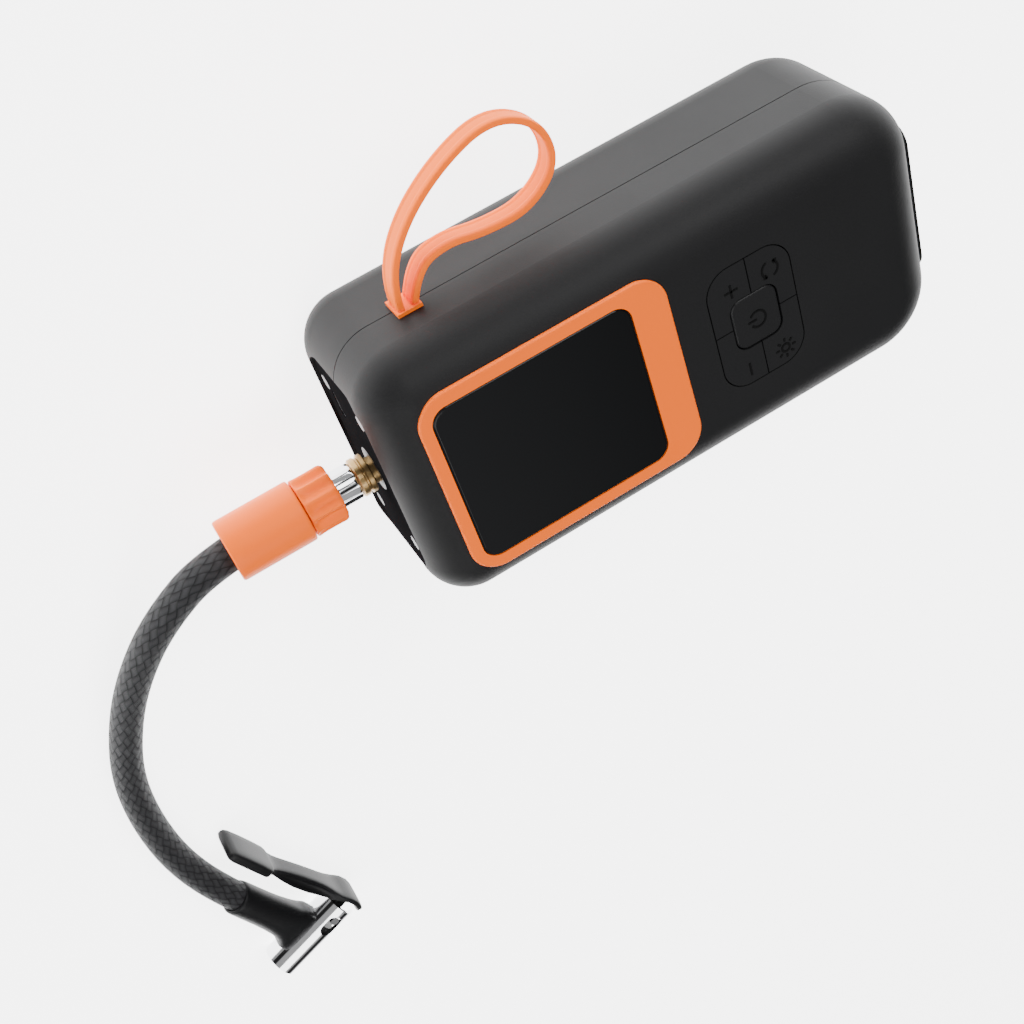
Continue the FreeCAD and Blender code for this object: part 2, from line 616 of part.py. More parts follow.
def build_battery():
    """Four cells, the links across their ends and the holder that they sit in."""
    cells = []
    for index, (far, low) in enumerate(CORNERS):
        along = "cell_y_far" if far < 0 else "cell_y_near"
        height = "cell_z_low" if low < 0 else "cell_z_high"
        cells.append(rod(f"Cell{index}", "cell_radius", ("-cell_half", along, height),
                         "2 * cell_half", "x"))
    keep(group("BatteryCells", *cells), "battery_cells")
    ends = [block(f"HolderEnd{side + 1}",
                  ("cell_half + holder_gap" if side > 0 else "-holder_half", "holder_low",
                   "holder_bottom"),
                  ("holder_half" if side > 0 else "-cell_half - holder_gap", "holder_high",
                   "holder_top")) for side in (-1, 1)]
    bar = rod("HolderBar", "holder_bar", ("-holder_half + 0.5", "(cell_y_far + cell_y_near) / 2",
                                          "(cell_z_low + cell_z_high) / 2"), "2 * holder_half - 1", "x")
    keep(joined("BatteryHolder", bar, *ends), "battery_holder")
    links = []
    for side in (-1, 1):
        for height in ("cell_z_low", "cell_z_high"):
            start = "cell_half" if side > 0 else "-cell_half - link_thick"
            links.append(block(f"Link{len(links)}",
                               (start, "cell_y_far - link_half", f"{height} - link_half"),
                               (f"{start} + link_thick", "cell_y_near + link_half",
                                f"{height} + link_half")))
    keep(group("CellLinks", *links), "cell_links")


# ---------------------------------------------------------------- motor, gears and pump

def gear_wheel(teeth, bore, phase):
    """A spur gear along X with straight-flanked teeth, thinned for backlash."""
    module = number("gear_module")
    pitch = module * teeth / 2
    levels = ((pitch - 1.15 * module, 0.36), (pitch, 0.22), (pitch + 0.9 * module, 0.1))
    step = 2 * math.pi / teeth
    corners = []
    for tooth in range(teeth):
        middle = phase + tooth * step
        flank = [(radius, middle - share * step) for radius, share in levels]
        flank += [(radius, middle + share * step) for radius, share in reversed(levels)]
        corners += [Vector(0, radius * math.cos(turn), radius * math.sin(turn))
                    for radius, turn in flank]
    outline = Part.Face(Part.makePolygon(corners + corners[:1]))
    blank = outline.extrude(Vector(number("gear_thick"), 0, 0))
    hole = Part.makeCylinder(bore, number("gear_thick"), Vector(), Vector(1, 0, 0))
    return blank.cut(hole)


def build_drive():
    """Motor, pinion, crank gear on its bearings, and the frame that holds them."""
    centres = number("gear_module * (crank_teeth + pinion_teeth) / 2")
    motor_y = f"crank_y - gear_module * (crank_teeth + pinion_teeth) / 2"
    face = "frame_back + frame_thick"
    can = turned("MotorCan", [
        ("shaft_radius + 0.05", "0"), ("motor_nose", "0"), ("motor_nose", "2"), ("motor_radius", "2"),
        ("motor_radius", f"motor_end - ({face})"), ("shaft_radius + 0.05", f"motor_end - ({face})")],
        (face, motor_y, "mid_height"), "x")
    keep(rod("MotorShaft", "shaft_radius", ("gear_start", motor_y, "mid_height"),
             "motor_end + 1.5 - gear_start", "x"), "motor_shaft")
    start = number("gear_start")
    height = number("mid_height")
    wheel = gear_wheel(int(SIZES["crank_teeth"]), number("axle_radius"),
                       math.pi / SIZES["crank_teeth"])
    keep(coded("CrankGear", wheel, Placement(Vector(start, number("crank_y"), height), Rotation())),
         "crank_gear")
    pinion = gear_wheel(int(SIZES["pinion_teeth"]), number("shaft_radius"), 0)
    place = Placement(Vector(start, number("crank_y") - centres, height), Rotation())
    keep(coded("MotorPinion", pinion, place), "motor_pinion")
    keep(rod("CrankAxle", "axle_radius", ("gear_start", "crank_y", "mid_height"),
             "boss_end - gear_start - 0.5", "x"), "crank_axle")
    bearings = [turned(f"Bearing{index}", [
        ("axle_radius + 0.05", "0"), ("bearing_radius", "0"), ("bearing_radius", "bearing_long"),
        ("axle_radius + 0.05", "bearing_long")], (spot, "crank_y", "mid_height"), "x")
        for index, spot in enumerate(("frame_back", "boss_end - bearing_long - 1"))]
    keep(group("CrankBearings", *bearings), "crank_bearings")
    side = block("FrameSide", ("frame_back", "frame_low", "frame_bottom"),
                 (face, "frame_high", "frame_top"))
    cross = block("FrameCross", ("outlet_x - flange_half", "cross_wall", "frame_bottom"),
                  (face, "frame_high", "frame_top"))
    foot = block("FrameFoot", ("frame_back", "frame_low", "frame_foot"),
                 ("foot_reach", "frame_high", "frame_bottom"))
    boss = rod("FrameBoss", "bearing_boss", (face, "crank_y", "mid_height"), f"boss_end - ({face})", "x")
    seats = [rod("BearingSeat", "bearing_radius", ("frame_back - 1", "crank_y", "mid_height"),
                 "boss_end - frame_back", "x"),
             rod("BossEnd", "axle_radius + 0.4", ("frame_back", "crank_y", "mid_height"),
                 "boss_end", "x"),
             rod("NoseHole", "motor_nose", ("frame_back - 1", motor_y, "mid_height"),
                 "frame_thick + 2", "x"),
             rod("RodHole", "cylinder_bore", ("outlet_x", "cross_wall - 1", "mid_height"),
                 "frame_high - cross_wall + 2", "y")]
    screws = []
    for index, turn in enumerate((-1, 1)):
        place = (f"{motor_y}", f"mid_height + {turn} * 8")
        head = rod(f"MotorHead{index}", "1.9", ("frame_back - 1.2", *place), "1.2", "x")
        shank = rod(f"MotorShank{index}", "1.0", ("frame_back", *place), "frame_thick + 4", "x")
        screws.append(joined(f"MotorScrew{index}", head, shank))
    motor_screws = keep(group("MotorScrews", *screws), "motor_screws")
    keep(cut("GearboxFrame", joined("FrameSolid", side, cross, foot, boss), *seats, motor_screws),
         "gearbox_frame")
    keep(cut("MotorBody", can, motor_screws), "motor_body")
    cushions = [rod(f"Cushion{index}", "cushion_radius", ("cushion_x", f"{turn} * cushion_y", "wall"),
                    "frame_foot - wall") for index, turn in enumerate((-1, 1))]
    keep(group("FrameCushions", *cushions), "frame_cushions")


def build_pump():
    """Crank pin, rod, piston and seal in the finned cylinder, closed by reed valve and head."""
    pin_y = "crank_y + crank_throw"
    axis_x = "outlet_x"
    keep(rod("CrankPin", "crank_pin", (f"{axis_x} - rod_half - 0.4", pin_y, "mid_height"),
             f"gear_start - 0.3 - ({axis_x} - rod_half - 0.4)", "x"), "crank_pin")
    keep(rod("WristPin", "wrist_radius", (f"{axis_x} - 5.5", "wrist_y", "mid_height"), "11", "x"),
         "wrist_pin")
    eyes = [rod(f"RodEye{index}", radius, (f"{axis_x} - rod_half", spot, "mid_height"),
                "2 * rod_half", "x")
            for index, (radius, spot) in enumerate((("rod_eye", pin_y), ("rod_half * 2", "wrist_y")))]
    shank = block("RodShank", (f"{axis_x} - rod_half", pin_y, "mid_height - 2"),
                  (f"{axis_x} + rod_half", "wrist_y", "mid_height + 2"))
    rod_holes = [rod(f"RodHole{index}", radius, (f"{axis_x} - 6", spot, "mid_height"), "12", "x")
                 for index, (radius, spot) in enumerate((("crank_pin", pin_y),
                                                         ("wrist_radius", "wrist_y")))]
    keep(cut("ConnectingRod", joined("RodSolid", *eyes, shank), *rod_holes), "connecting_rod")
    crown = turned("PistonCrown", [
        ("0", "0"), ("piston_radius", "0"), ("piston_radius", "seal_low - piston_low"),
        ("seal_inner", "seal_low - piston_low"), ("seal_inner", "seal_high - piston_low"),
        ("piston_radius", "seal_high - piston_low"), ("piston_radius", "piston_high - piston_low"),
        ("0", "piston_high - piston_low")], (axis_x, "piston_low", "mid_height"))
    fork = block("PistonFork", (f"{axis_x} - rod_half - 0.2", "piston_low - 1", "mid_height - 4"),
                 (f"{axis_x} + rod_half + 0.2", "wrist_y + 3.4", "mid_height + 4"))
    bore = rod("PistonBore", "wrist_radius", (f"{axis_x} - 5.5", "wrist_y", "mid_height"), "11", "x")
    keep(cut("Piston", crown, fork, bore), "piston")
    keep(turned("PistonSeal", [
        ("seal_inner", "0"), ("seal_radius", "0"), ("seal_radius", "seal_high - seal_low"),
        ("seal_inner", "seal_high - seal_low")], (axis_x, "seal_low", "mid_height")), "piston_seal")
    corners = [(f"outlet_x + {side} * head_screw_at", f"mid_height + {rise} * head_screw_at")
               for side, rise in CORNERS]
    screws = []
    for index, (across, up) in enumerate(corners):
        head = rod(f"HeadScrewHead{index}", "head_screw_head", (across, "head_top", up), "1.6", "y")
        shank = rod(f"HeadScrewShank{index}", "head_screw_radius", (across, "cylinder_high - 3", up),
                    "head_top - cylinder_high + 3", "y")
        screws.append(joined(f"HeadScrew{index}", head, shank))
    head_screws = keep(group("HeadScrews", *screws), "head_screws")
    flanges = [plate(f"CylinderFlange{index}", ("outlet_x - flange_half", "outlet_x + flange_half"),
                     ("mid_height - flange_half", "mid_height + flange_half"), low,
                     f"{low} + flange_thick", "2", "y")
               for index, low in enumerate(("frame_high", "cylinder_high - flange_thick"))]
    barrel = rod("CylinderBarrel", "cylinder_radius", ("outlet_x", "frame_high", "mid_height"),
                 "cylinder_high - frame_high", "y")
    fins = [rod(f"Fin{index}", "fin_radius",
                ("outlet_x", f"frame_high + flange_thick + {2.2 + 3.2 * index}", "mid_height"),
                "fin_thick", "y") for index in range(5)]
    hollow = rod("CylinderHollow", "cylinder_bore", ("outlet_x", "frame_high - 1", "mid_height"),
                 "cylinder_high - frame_high + 2", "y")
    keep(cut("Cylinder", joined("CylinderSolid", barrel, *flanges, *fins), hollow, head_screws),
         "cylinder")
    reed_end = "cylinder_high + reed_thick"
    vents = [rod(f"Vent{index}", "0.9", (f"outlet_x + {offset}", "cylinder_high - 1", "mid_height"),
                 "3", "y") for index, offset in enumerate((-3, 3))]
    reed = rod("ReedDisc", "cylinder_radius - 0.6", ("outlet_x", "cylinder_high", "mid_height"),
               "reed_thick", "y")
    keep(cut("ReedValve", reed, *vents), "reed_valve")
    block_head = plate("HeadBlock", ("outlet_x - head_half", "outlet_x + head_half"),
                       ("mid_height - head_half", "mid_height + head_half"), "cylinder_high",
                       "head_top", "2", "y")
    seat = rod("ReedSeat", "cylinder_radius - 0.6", ("outlet_x", "cylinder_high - 1", "mid_height"),
               "reed_thick + 1", "y")
    chamber = rod("HeadChamber", "5", ("outlet_x", reed_end, "mid_height"), "3", "y")
    passage = rod("HeadPassage", "head_bore", ("outlet_x", reed_end, "mid_height"), "20", "y")
    branch = rod("HeadBranch", "head_bore / 2", ("outlet_x", "58", "mid_height"), "20")
    keep(cut("CylinderHead", block_head, seat, chamber, passage, branch, head_screws),
         "cylinder_head")


# ---------------------------------------------------------------- cords

def routed_wire(name, route, least):
    """Straight runs joined by tangent arcs, each as large as its two runs allow."""
    spots = [Vector(*spot) for spot in route]
    edges = []
    start = spots[0]
    radii = []
    for before, corner, after in zip(spots, spots[1:], spots[2:]):
        inward = (corner - before).normalize()
        outward = (after - corner).normalize()
        turn = inward.getAngle(outward)
        trim = 0.45 * min((corner - before).Length, (after - corner).Length)
        radius = trim / math.tan(turn / 2)
        radii.append(round(radius, 1))
        first = corner - inward * trim
        last = corner + outward * trim
        bisector = (outward - inward).normalize()
        centre = corner + bisector * (radius / math.cos(turn / 2))
        middle = centre - bisector * radius
        edges.append(Part.LineSegment(start, first).toShape())
        edges.append(Part.Arc(first, middle, last).toShape())
        start = last
    edges.append(Part.LineSegment(start, spots[-1]).toShape())
    wire = Part.Wire(edges)
    print(f"{name}: arc radii {radii}, length {wire.Length:.1f}")
    if min(radii) < least:
        raise ValueError(f"{name}: an arc is tighter than {least}")
    return wire


def swept(name, wire, section, area, binormal=None):
    """Sweep a closed section along the wire and compare the volume."""
    shell = Part.BRepOffsetAPI.MakePipeShell(wire)
    if binormal:
        shell.setBiNormalMode(binormal)
    else:
        shell.setFrenetMode(False)
    shell.add(section)
    shell.build()
    shell.makeSolid()
    solid = shell.shape()
    ratio = solid.Volume / (area * wire.Length)
    print(f"{name}: volume over section times length {ratio:.4f}")
    if abs(ratio - 1) > 0.02:
        raise ValueError(f"{name}: the sweep's volume is wrong")
    return solid


def build_hose():
    """The braided hose from the coupling to the chuck."""
    wire = routed_wire("hose", HOSE_ROUTE, 3 * 2 * number("hose_radius"))
    radius = number("hose_radius")
    begin = Vector(*HOSE_ROUTE[0])
    circle = Part.Wire(Part.makeCircle(radius, begin, Vector(*HOSE_ROUTE[1]) - begin))
    keep(coded("Hose", swept("hose", wire, circle, math.pi * radius ** 2)), "hose")


def build_strap():
    """The flat wrist strap, both ends on its plug."""
    height = number("strap_z")
    route = [(across, along, height) for across, along in STRAP_ROUTE]
    wire = routed_wire("strap", route, number("strap_wide"))
    wide = number("strap_wide") / 2
    thick = number("strap_thick") / 2
    begin = Vector(*route[0])
    side = (Vector(*route[1]) - begin).normalize().cross(Vector(0, 0, 1))
    rise = Vector(0, 0, wide)
    corners = [begin + side * thick + rise, begin - side * thick + rise,
               begin - side * thick - rise, begin + side * thick - rise]
    section = Part.makePolygon(corners + corners[:1])
    solid = swept("strap", wire, section, 4 * wide * thick, Vector(0, 0, 1))
    keep(coded("WristStrap", solid), "wrist_strap")


# ---------------------------------------------------------------- coupling and chuck

def build_coupling():
    """The screw coupling: brass stud, fluted nut and collar that turn, and the hose's sleeve."""
    stud = turned("CouplingStud", [
        ("stud_bore", "0"), ("thread_radius", "0"), ("thread_radius", "flange_start - thread_start"),
        ("flange_radius - 0.3", "flange_start - thread_start"),
        ("flange_radius", "flange_start + 0.3 - thread_start"),
        ("flange_radius", "flange_groove - 0.3 - thread_start"),
        ("flange_radius - 0.5", "flange_groove - thread_start"),
        ("flange_radius - 0.5", "flange_groove + 0.4 - thread_start"),
        ("flange_radius", "flange_groove + 0.7 - thread_start"),
        ("flange_radius", "flange_end - 0.3 - thread_start"),
        ("flange_radius - 0.3", "flange_end - thread_start"),
        ("spindle_radius", "flange_end - thread_start"),
        ("spindle_radius", "spindle_end - thread_start"),
        ("tail_radius", "spindle_end - thread_start"), ("tail_radius", "tail_end - thread_start"),
        ("stud_bore", "tail_end - thread_start")], ("outlet_x", "thread_start", "mid_height"))
    keep(stud, "coupling_stud")
    keep(fluted("CouplingNut", "nut_radius", "spindle_radius", "flange_end", "nut_end", 12,
                "nut_flute", "nut_flute_at"), "coupling_nut")
    collar = fluted("CouplingCollar", "collar_radius", "spindle_radius", "nut_end", "collar_end", 16,
                    "collar_flute", "collar_flute_at")
    tail_gap = rod("TailGap", "spindle_radius", ("outlet_x", "spindle_end", "mid_height"), "3", "y")
    keep(cut("GripCollar", collar, tail_gap), "coupling_collar")
    sleeve = turned("HoseSleeve", [
        ("sleeve_hole", "0"), ("sleeve_radius", "0"), ("sleeve_radius", "sleeve_end - sleeve_start"),
        ("hose_radius", "sleeve_end - sleeve_start"), ("hose_radius", "hose_start - sleeve_start"),
        ("sleeve_hole", "hose_start - sleeve_start")], ("outlet_x", "sleeve_start", "mid_height"))
    keep(sleeve, "hose_sleeve")


def lever_outline():
    """The lever seen along its pin: head over the barrel, arm and thumb tab."""
    pin = Vector(0, number("pin_y"), 0)
    inner = number("head_inner")
    outer = number("head_outer")

    def around(radius, degrees):
        turn = math.radians(degrees)
        return pin + Vector(radius * math.cos(turn), -radius * math.sin(turn), 0)

    back, top, front = 127, 90, 52
    arcs = [Part.Arc(around(outer, back), around(outer, top), around(outer, 62)).toShape(),
            Part.Arc(around(inner, front), around(inner, top), around(inner, back)).toShape()]
    arm = [around(outer, 62), Vector(20, -18.9), Vector(33, -17.4), Vector(38, -17.9),
           Vector(56.5, -17.2), Vector(57.5, -15), Vector(55.5, -13.4), Vector(38.5, -13.4),
           Vector(36, -14.6), Vector(23, -13.6), Vector(12, -15.2), around(inner, front)]
    lines = [Part.LineSegment(first, last).toShape() for first, last in zip(arm, arm[1:])]
    closing = Part.LineSegment(around(inner, back), around(outer, back)).toShape()
    return Part.Wire([arcs[0], *lines, arcs[1], closing])


def lever_shape():
    """The lever: outline extruded, a web down into the barrel and a cam hub on the pin."""
    half = number("lever_half")
    web = number("web_half")
    pin_y = number("pin_y")
    body = Part.Face(lever_outline()).extrude(Vector(0, 0, 2 * half))
    body.translate(Vector(0, 0, -half))
    pocket = Part.Face(Part.makePolygon([Vector(10, -18.2), Vector(31, -16.4), Vector(23, -14.7),
                                         Vector(12.5, -16.3), Vector(10, -18.2)]))
    depth = half - web
    for low in (-half, web):
        hollow = pocket.extrude(Vector(0, 0, depth))
        hollow.translate(Vector(0, 0, low))
        body = body.cut(hollow)
    neck = Part.makeBox(5, number("head_inner") + 0.6, 2 * web,
                        Vector(-1.5, pin_y - number("head_inner") - 0.6, -web))
    hub = Part.makeCylinder(number("hub_radius"), 2 * web, Vector(0, pin_y, -web))
    lobe = Part.makeCylinder(number("lobe_radius"), 2 * web,
                             Vector(-number("lobe_radius"), pin_y, -web))
    bore = Part.makeCylinder(number("lever_bore"), 4 * half, Vector(0, pin_y, -2 * half))
    return body.fuse([neck, hub, lobe]).removeSplitter().cut(bore)


def build_chuck():
    """The valve chuck: barrel, cuff, lever on its pin, plunger and valve seal."""
    place = Placement(Vector(number("chuck_x"), number("chuck_y"), number("chuck_z")),
                      Rotation(Vector(0, 0, 1), number("chuck_turn")))

    def placed(piece, name):
        piece.Placement = place
        return keep(piece, name)

    tube = rod("BarrelTube", "barrel_radius", ("0", "barrel_top", "0"), "barrel_valve - barrel_top", "y")
    bore = rod("BarrelBore", "barrel_bore", ("0", "barrel_top - 1", "0"),
               "barrel_valve - lip - barrel_top + 1", "y")
    mouth = rod("BarrelMouth", "lip_hole", ("0", "0", "0"), "barrel_valve + 1", "y")
    air = rod("BarrelAir", "stem_hole_radius", ("0", "0", "0"), "barrel_radius + 1", "x")
    window_ends = [rod(f"WindowEnd{index}", "window_half", ("0", spot, "0"), "barrel_radius + 1")
                   for index, spot in enumerate(("window_near - window_half", "pin_y + 0.6"))]
    window_box = block("WindowBox", ("-window_half", "pin_y + 0.6", "0"),
                       ("window_half", "window_near - window_half", "barrel_radius + 1"))
    slot = block("LeverSlot", ("-barrel_radius - 1", "barrel_top - 1", "-slot_half"),
                 ("0", "pin_y + hub_radius + 1", "slot_half"))
    pin_hole = rod("PinHole", "lever_pin_radius", ("0", "pin_y", "-barrel_radius - 1"),
                   "barrel_radius + 1")
    placed(cut("ChuckBarrel", tube, bore, mouth, air, *window_ends, window_box, slot, pin_hole),
           "chuck_barrel")
    axle = rod("LeverPinRod", "lever_pin_radius", ("0", "pin_y", "-barrel_radius + 0.2"),
               "2 * barrel_radius - 0.6")
    placed(group("LeverPin", axle), "lever_pin")
    placed(coded("ChuckLever", lever_shape()), "chuck_lever")
    cuff = turned("CuffTurned", [
        ("1.6", "0"), ("cuff_flare", "0"), ("cuff_flare", "3"), ("cuff_radius", "9"),
        ("cuff_radius", "cuff_end - cuff_start - 1"), ("cuff_radius - 0.5", "cuff_end - cuff_start"),
        ("hose_radius", "cuff_end - cuff_start"), ("hose_radius", "hose_end - cuff_start"),
        ("1.6", "hose_end - cuff_start")], ("cuff_start", "0", "0"), "x")
    seat = rod("CuffSeat", "barrel_radius", ("0", "-20", "0"), "40", "y")
    placed(cut("HoseCuff", cuff, seat), "hose_cuff")
    plug = rod("PlungerRod", "plunger_radius", ("0", "plunger_top", "0"), "plunger_end - plunger_top", "y")
    bore = rod("PlungerBore", "1.3", ("0", "-1", "0"), "plunger_end + 2", "y")
    port = rod("PlungerPort", "port_radius", ("0", "0", "0"), "plunger_radius + 1", "x")
    placed(cut("ChuckPlunger", plug, bore, port), "chuck_plunger")
    placed(cut("ValveSeal", rod("SealRing", "barrel_bore", ("0", "seal_start", "0"),
                                "seal_end - seal_start", "y"),
               rod("SealBore", "valve_bore", ("0", "seal_start - 1", "0"), "12", "y")), "valve_seal")


# ---------------------------------------------------------------- build, test and export

def main():
    """Build every sub-part, test its shape and write it to its own file."""
    end_screws = build_housing()
    build_lamp()
    build_keys()
    build_board()
    build_outlet(end_screws)
    build_battery()
    build_drive()
    build_pump()
    build_coupling()
    build_hose()
    build_chuck()
    build_strap()
    doc.recompute()
    failed = [thing.Name for thing in doc.Objects
              if "Invalid" in thing.State or "Error" in thing.State]
    if failed:
        raise ValueError(f"features failed: {failed}")
    for piece in NODES:
        if piece.Shape.isNull() or not piece.Shape.isValid() or not piece.Shape.Solids:
            raise ValueError(f"{piece.Label} has no valid solid")
    os.makedirs("parts", exist_ok=True)
    for piece in NODES:
        piece.Shape.exportStep(f"parts/{piece.Label}.step")
    print(f"{len(NODES)} sub-parts written")


main()
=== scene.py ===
"""Looks for a handheld tyre inflator with a braided hose, a lever chuck and a wrist strap.

Everything is in metres in the part's own frame: the inflator lies on its back, +Z comes out of the
display, +Y points at the hose outlet and +X at the wrist strap.
"""
import logging
import math
from dataclasses import dataclass, field
from enum import Enum
from typing import Callable, Sequence

import bpy
from mathutils import Matrix, Quaternion, Vector

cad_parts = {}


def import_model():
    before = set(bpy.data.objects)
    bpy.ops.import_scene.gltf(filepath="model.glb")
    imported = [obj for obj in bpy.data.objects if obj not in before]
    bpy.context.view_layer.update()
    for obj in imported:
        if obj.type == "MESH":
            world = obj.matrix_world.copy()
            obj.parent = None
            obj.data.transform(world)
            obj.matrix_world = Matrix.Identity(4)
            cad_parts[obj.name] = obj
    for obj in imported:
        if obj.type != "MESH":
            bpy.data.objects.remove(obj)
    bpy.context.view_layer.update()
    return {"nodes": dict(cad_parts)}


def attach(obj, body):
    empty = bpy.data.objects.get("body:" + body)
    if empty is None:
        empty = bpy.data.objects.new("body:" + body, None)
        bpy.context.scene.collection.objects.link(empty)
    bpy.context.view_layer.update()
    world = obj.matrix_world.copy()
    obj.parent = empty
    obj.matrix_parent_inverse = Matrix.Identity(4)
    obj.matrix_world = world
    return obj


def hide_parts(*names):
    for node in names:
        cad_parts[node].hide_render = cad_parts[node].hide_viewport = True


MM = 0.001
LOG = logging.getLogger("inflator")

Colour = tuple[float, float, float]
Point = tuple[float, float]
Spot = tuple[float, float, float]


# ---------------------------------------------------------------- shader maths

class Value:
    """A node socket that takes part in ordinary arithmetic."""

    def __init__(self, shader: "Shader", socket: bpy.types.NodeSocket) -> None:
        """Wrap one output socket of a shader's tree."""
        self.shader = shader
        self.socket = socket

    def maths(self, operation: str, *others: "Value | float") -> "Value":
        """Add a Math node whose first input is this value.

        Args:
            operation: the Math node's operation.
            others: the remaining inputs, in order.

        Returns:
            The node's result.
        """
        return self.shader.maths(operation, self, *others)

    def __add__(self, other: "Value | float") -> "Value":
        """Sum."""
        return self.maths("ADD", other)

    __radd__ = __add__

    def __mul__(self, other: "Value | float") -> "Value":
        """Product."""
        return self.maths("MULTIPLY", other)

    __rmul__ = __mul__

    def __sub__(self, other: "Value | float") -> "Value":
        """Difference."""
        return self.maths("SUBTRACT", other)

    def __rsub__(self, other: "Value | float") -> "Value":
        """Reflected difference."""
        return self.shader.maths("SUBTRACT", other, self)

    def __truediv__(self, other: "Value | float") -> "Value":
        """Quotient."""
        return self.maths("DIVIDE", other)

    def __pow__(self, other: "Value | float") -> "Value":
        """Power."""
        return self.maths("POWER", other)

    def floor(self) -> "Value":
        """Whole part."""
        return self.maths("FLOOR")

    def fraction(self) -> "Value":
        """Part after the point."""
        return self.maths("FRACT")

    def sine(self) -> "Value":
        """Sine, in radians."""
        return self.maths("SINE")

    def size(self) -> "Value":
        """Absolute value."""
        return self.maths("ABSOLUTE")

    def above(self, level: float) -> "Value":
        """One where the value is over the level, else zero."""
        return self.maths("GREATER_THAN", level)


class Shader:
    """One node-based material while it is put together."""

    def __init__(self, name: str) -> None:
        """Start an empty material with one principled surface."""
        self.material = bpy.data.materials.new(name)
        self.material.use_nodes = True
        self.tree = self.material.node_tree
        self.tree.nodes.clear()
        self.surface = self.tree.nodes.new("ShaderNodeBsdfPrincipled")
        output = self.tree.nodes.new("ShaderNodeOutputMaterial")
        self.tree.links.new(self.surface.outputs["BSDF"], output.inputs["Surface"])

    def node(self, kind: str, settings: dict | None = None,
             inputs: dict | None = None, output: str | int = 0) -> Value:
        """Add any node.

        Args:
            kind: the node's type.
            settings: properties set before the sockets; "stops" fills a colour ramp.
            inputs: socket name or index to a value or a link.
            output: which output to hand back.

        Returns:
            The chosen output.
        """
        made = self.tree.nodes.new(kind)
        for key, setting in (settings or {}).items():
            if key == "stops":
                ramp = made.color_ramp
                while len(ramp.elements) < len(setting):
                    ramp.elements.new(0.5)
                for element, (place, colour) in zip(ramp.elements, setting):
                    element.position = place
                    element.color = (*colour, 1.0)
            else:
                setattr(made, key, setting)
        for key, given in (inputs or {}).items():
            self.feed(made.inputs[key], given)
        return Value(self, made.outputs[output])

    def feed(self, socket: bpy.types.NodeSocket, given: "Value | float | Colour") -> None:
        """Link or set one input socket."""
        if isinstance(given, Value):
            self.tree.links.new(given.socket, socket)
        elif isinstance(given, tuple) and len(given) == 3 and len(socket.default_value) == 4:
            socket.default_value = (*given, 1.0)
        else:
            socket.default_value = given

    def maths(self, operation: str, *numbers: "Value | float") -> Value:
        """Add a Math node.

        Args:
            operation: its operation.
            numbers: its inputs.

        Returns:
            Its result.
        """
        return self.node("ShaderNodeMath", {"operation": operation}, dict(enumerate(numbers)))

    def blend(self, share: "Value | float", first: "Value | Colour",
              second: "Value | Colour") -> Value:
        """Mix two colours.

        Args:
            share: how much of the second, from 0 to 1.
            first: the colour at 0.
            second: the colour at 1.

        Returns:
            The mixed colour.
        """
        return self.node("ShaderNodeMix", {"data_type": "RGBA"}, {0: share, 6: first, 7: second}, 2)

    def place(self) -> Value:
        """The point on the piece, in metres."""
        return self.node("ShaderNodeTexCoord", output="Object")

    def along_and_around(self) -> tuple[Value, Value]:
        """Distance along a swept piece in metres, and the share of a turn around it."""
        split = self.node("ShaderNodeSeparateXYZ", inputs={
            0: self.node("ShaderNodeTexCoord", output="UV")}).socket.node
        return Value(self, split.outputs[0]), Value(self, split.outputs[1])

    def grain(self, size: float, detail: float = 2.0) -> Value:
        """Noise of a given size.

        Args:
            size: size of one grain, in metres.
            detail: octaves.

        Returns:
            The noise, from 0 to 1.
        """
        return self.node("ShaderNodeTexNoise", inputs={
            "Vector": self.place(), "Scale": 1.0 / size, "Detail": detail, "Roughness": 0.55})

    def relief(self, height: Value, depth: float, strength: float = 1.0) -> None:
        """Bump the surface by a height from 0 to 1, scaled to a depth in metres."""
        bump = self.node("ShaderNodeBump", inputs={
            "Height": height, "Distance": depth, "Strength": strength}, output="Normal")
        self.feed(self.surface.inputs["Normal"], bump)

    def set(self, **values: "Value | float | Colour") -> None:
        """Set or link inputs of the surface; underscores stand for spaces."""
        for key, given in values.items():
            self.feed(self.surface.inputs[key.replace("_", " ")], given)


# ---------------------------------------------------------------- finishes

class Gloss(Enum):
    """How shiny a moulded surface is, as roughness."""

    CHALKY = 0.72
    MATT = 0.56
    SATIN = 0.42
    GLOSSY = 0.24


@dataclass(frozen=True)
class Moulded:
    """Moulded plastic or rubber with a fine cast grain and slight mottling."""

    name: str
    colour: Colour
    gloss: Gloss
    grain: float = 0.00035
    depth: float = 0.00002
    mottle: float = 0.12
    specular: float = 0.13

    def make(self) -> bpy.types.Material:
        """Build the material."""
        shader = Shader(self.name)
        fine = shader.grain(self.grain)
        broad = shader.grain(0.03, 3.0)
        dim = tuple(part * (1 - self.mottle) for part in self.colour)
        pale = tuple(min(1.0, part * (1 + self.mottle) + 0.002) for part in self.colour)
        shader.set(Base_Color=shader.blend(fine * 0.5 + broad * 0.5, dim, pale),
                   Roughness=self.gloss.value + (broad - 0.5) * 0.12 + (fine - 0.5) * 0.06)
        shader.surface.inputs["Specular IOR Level"].default_value = self.specular
        shader.relief(fine, self.depth)
        return shader.material


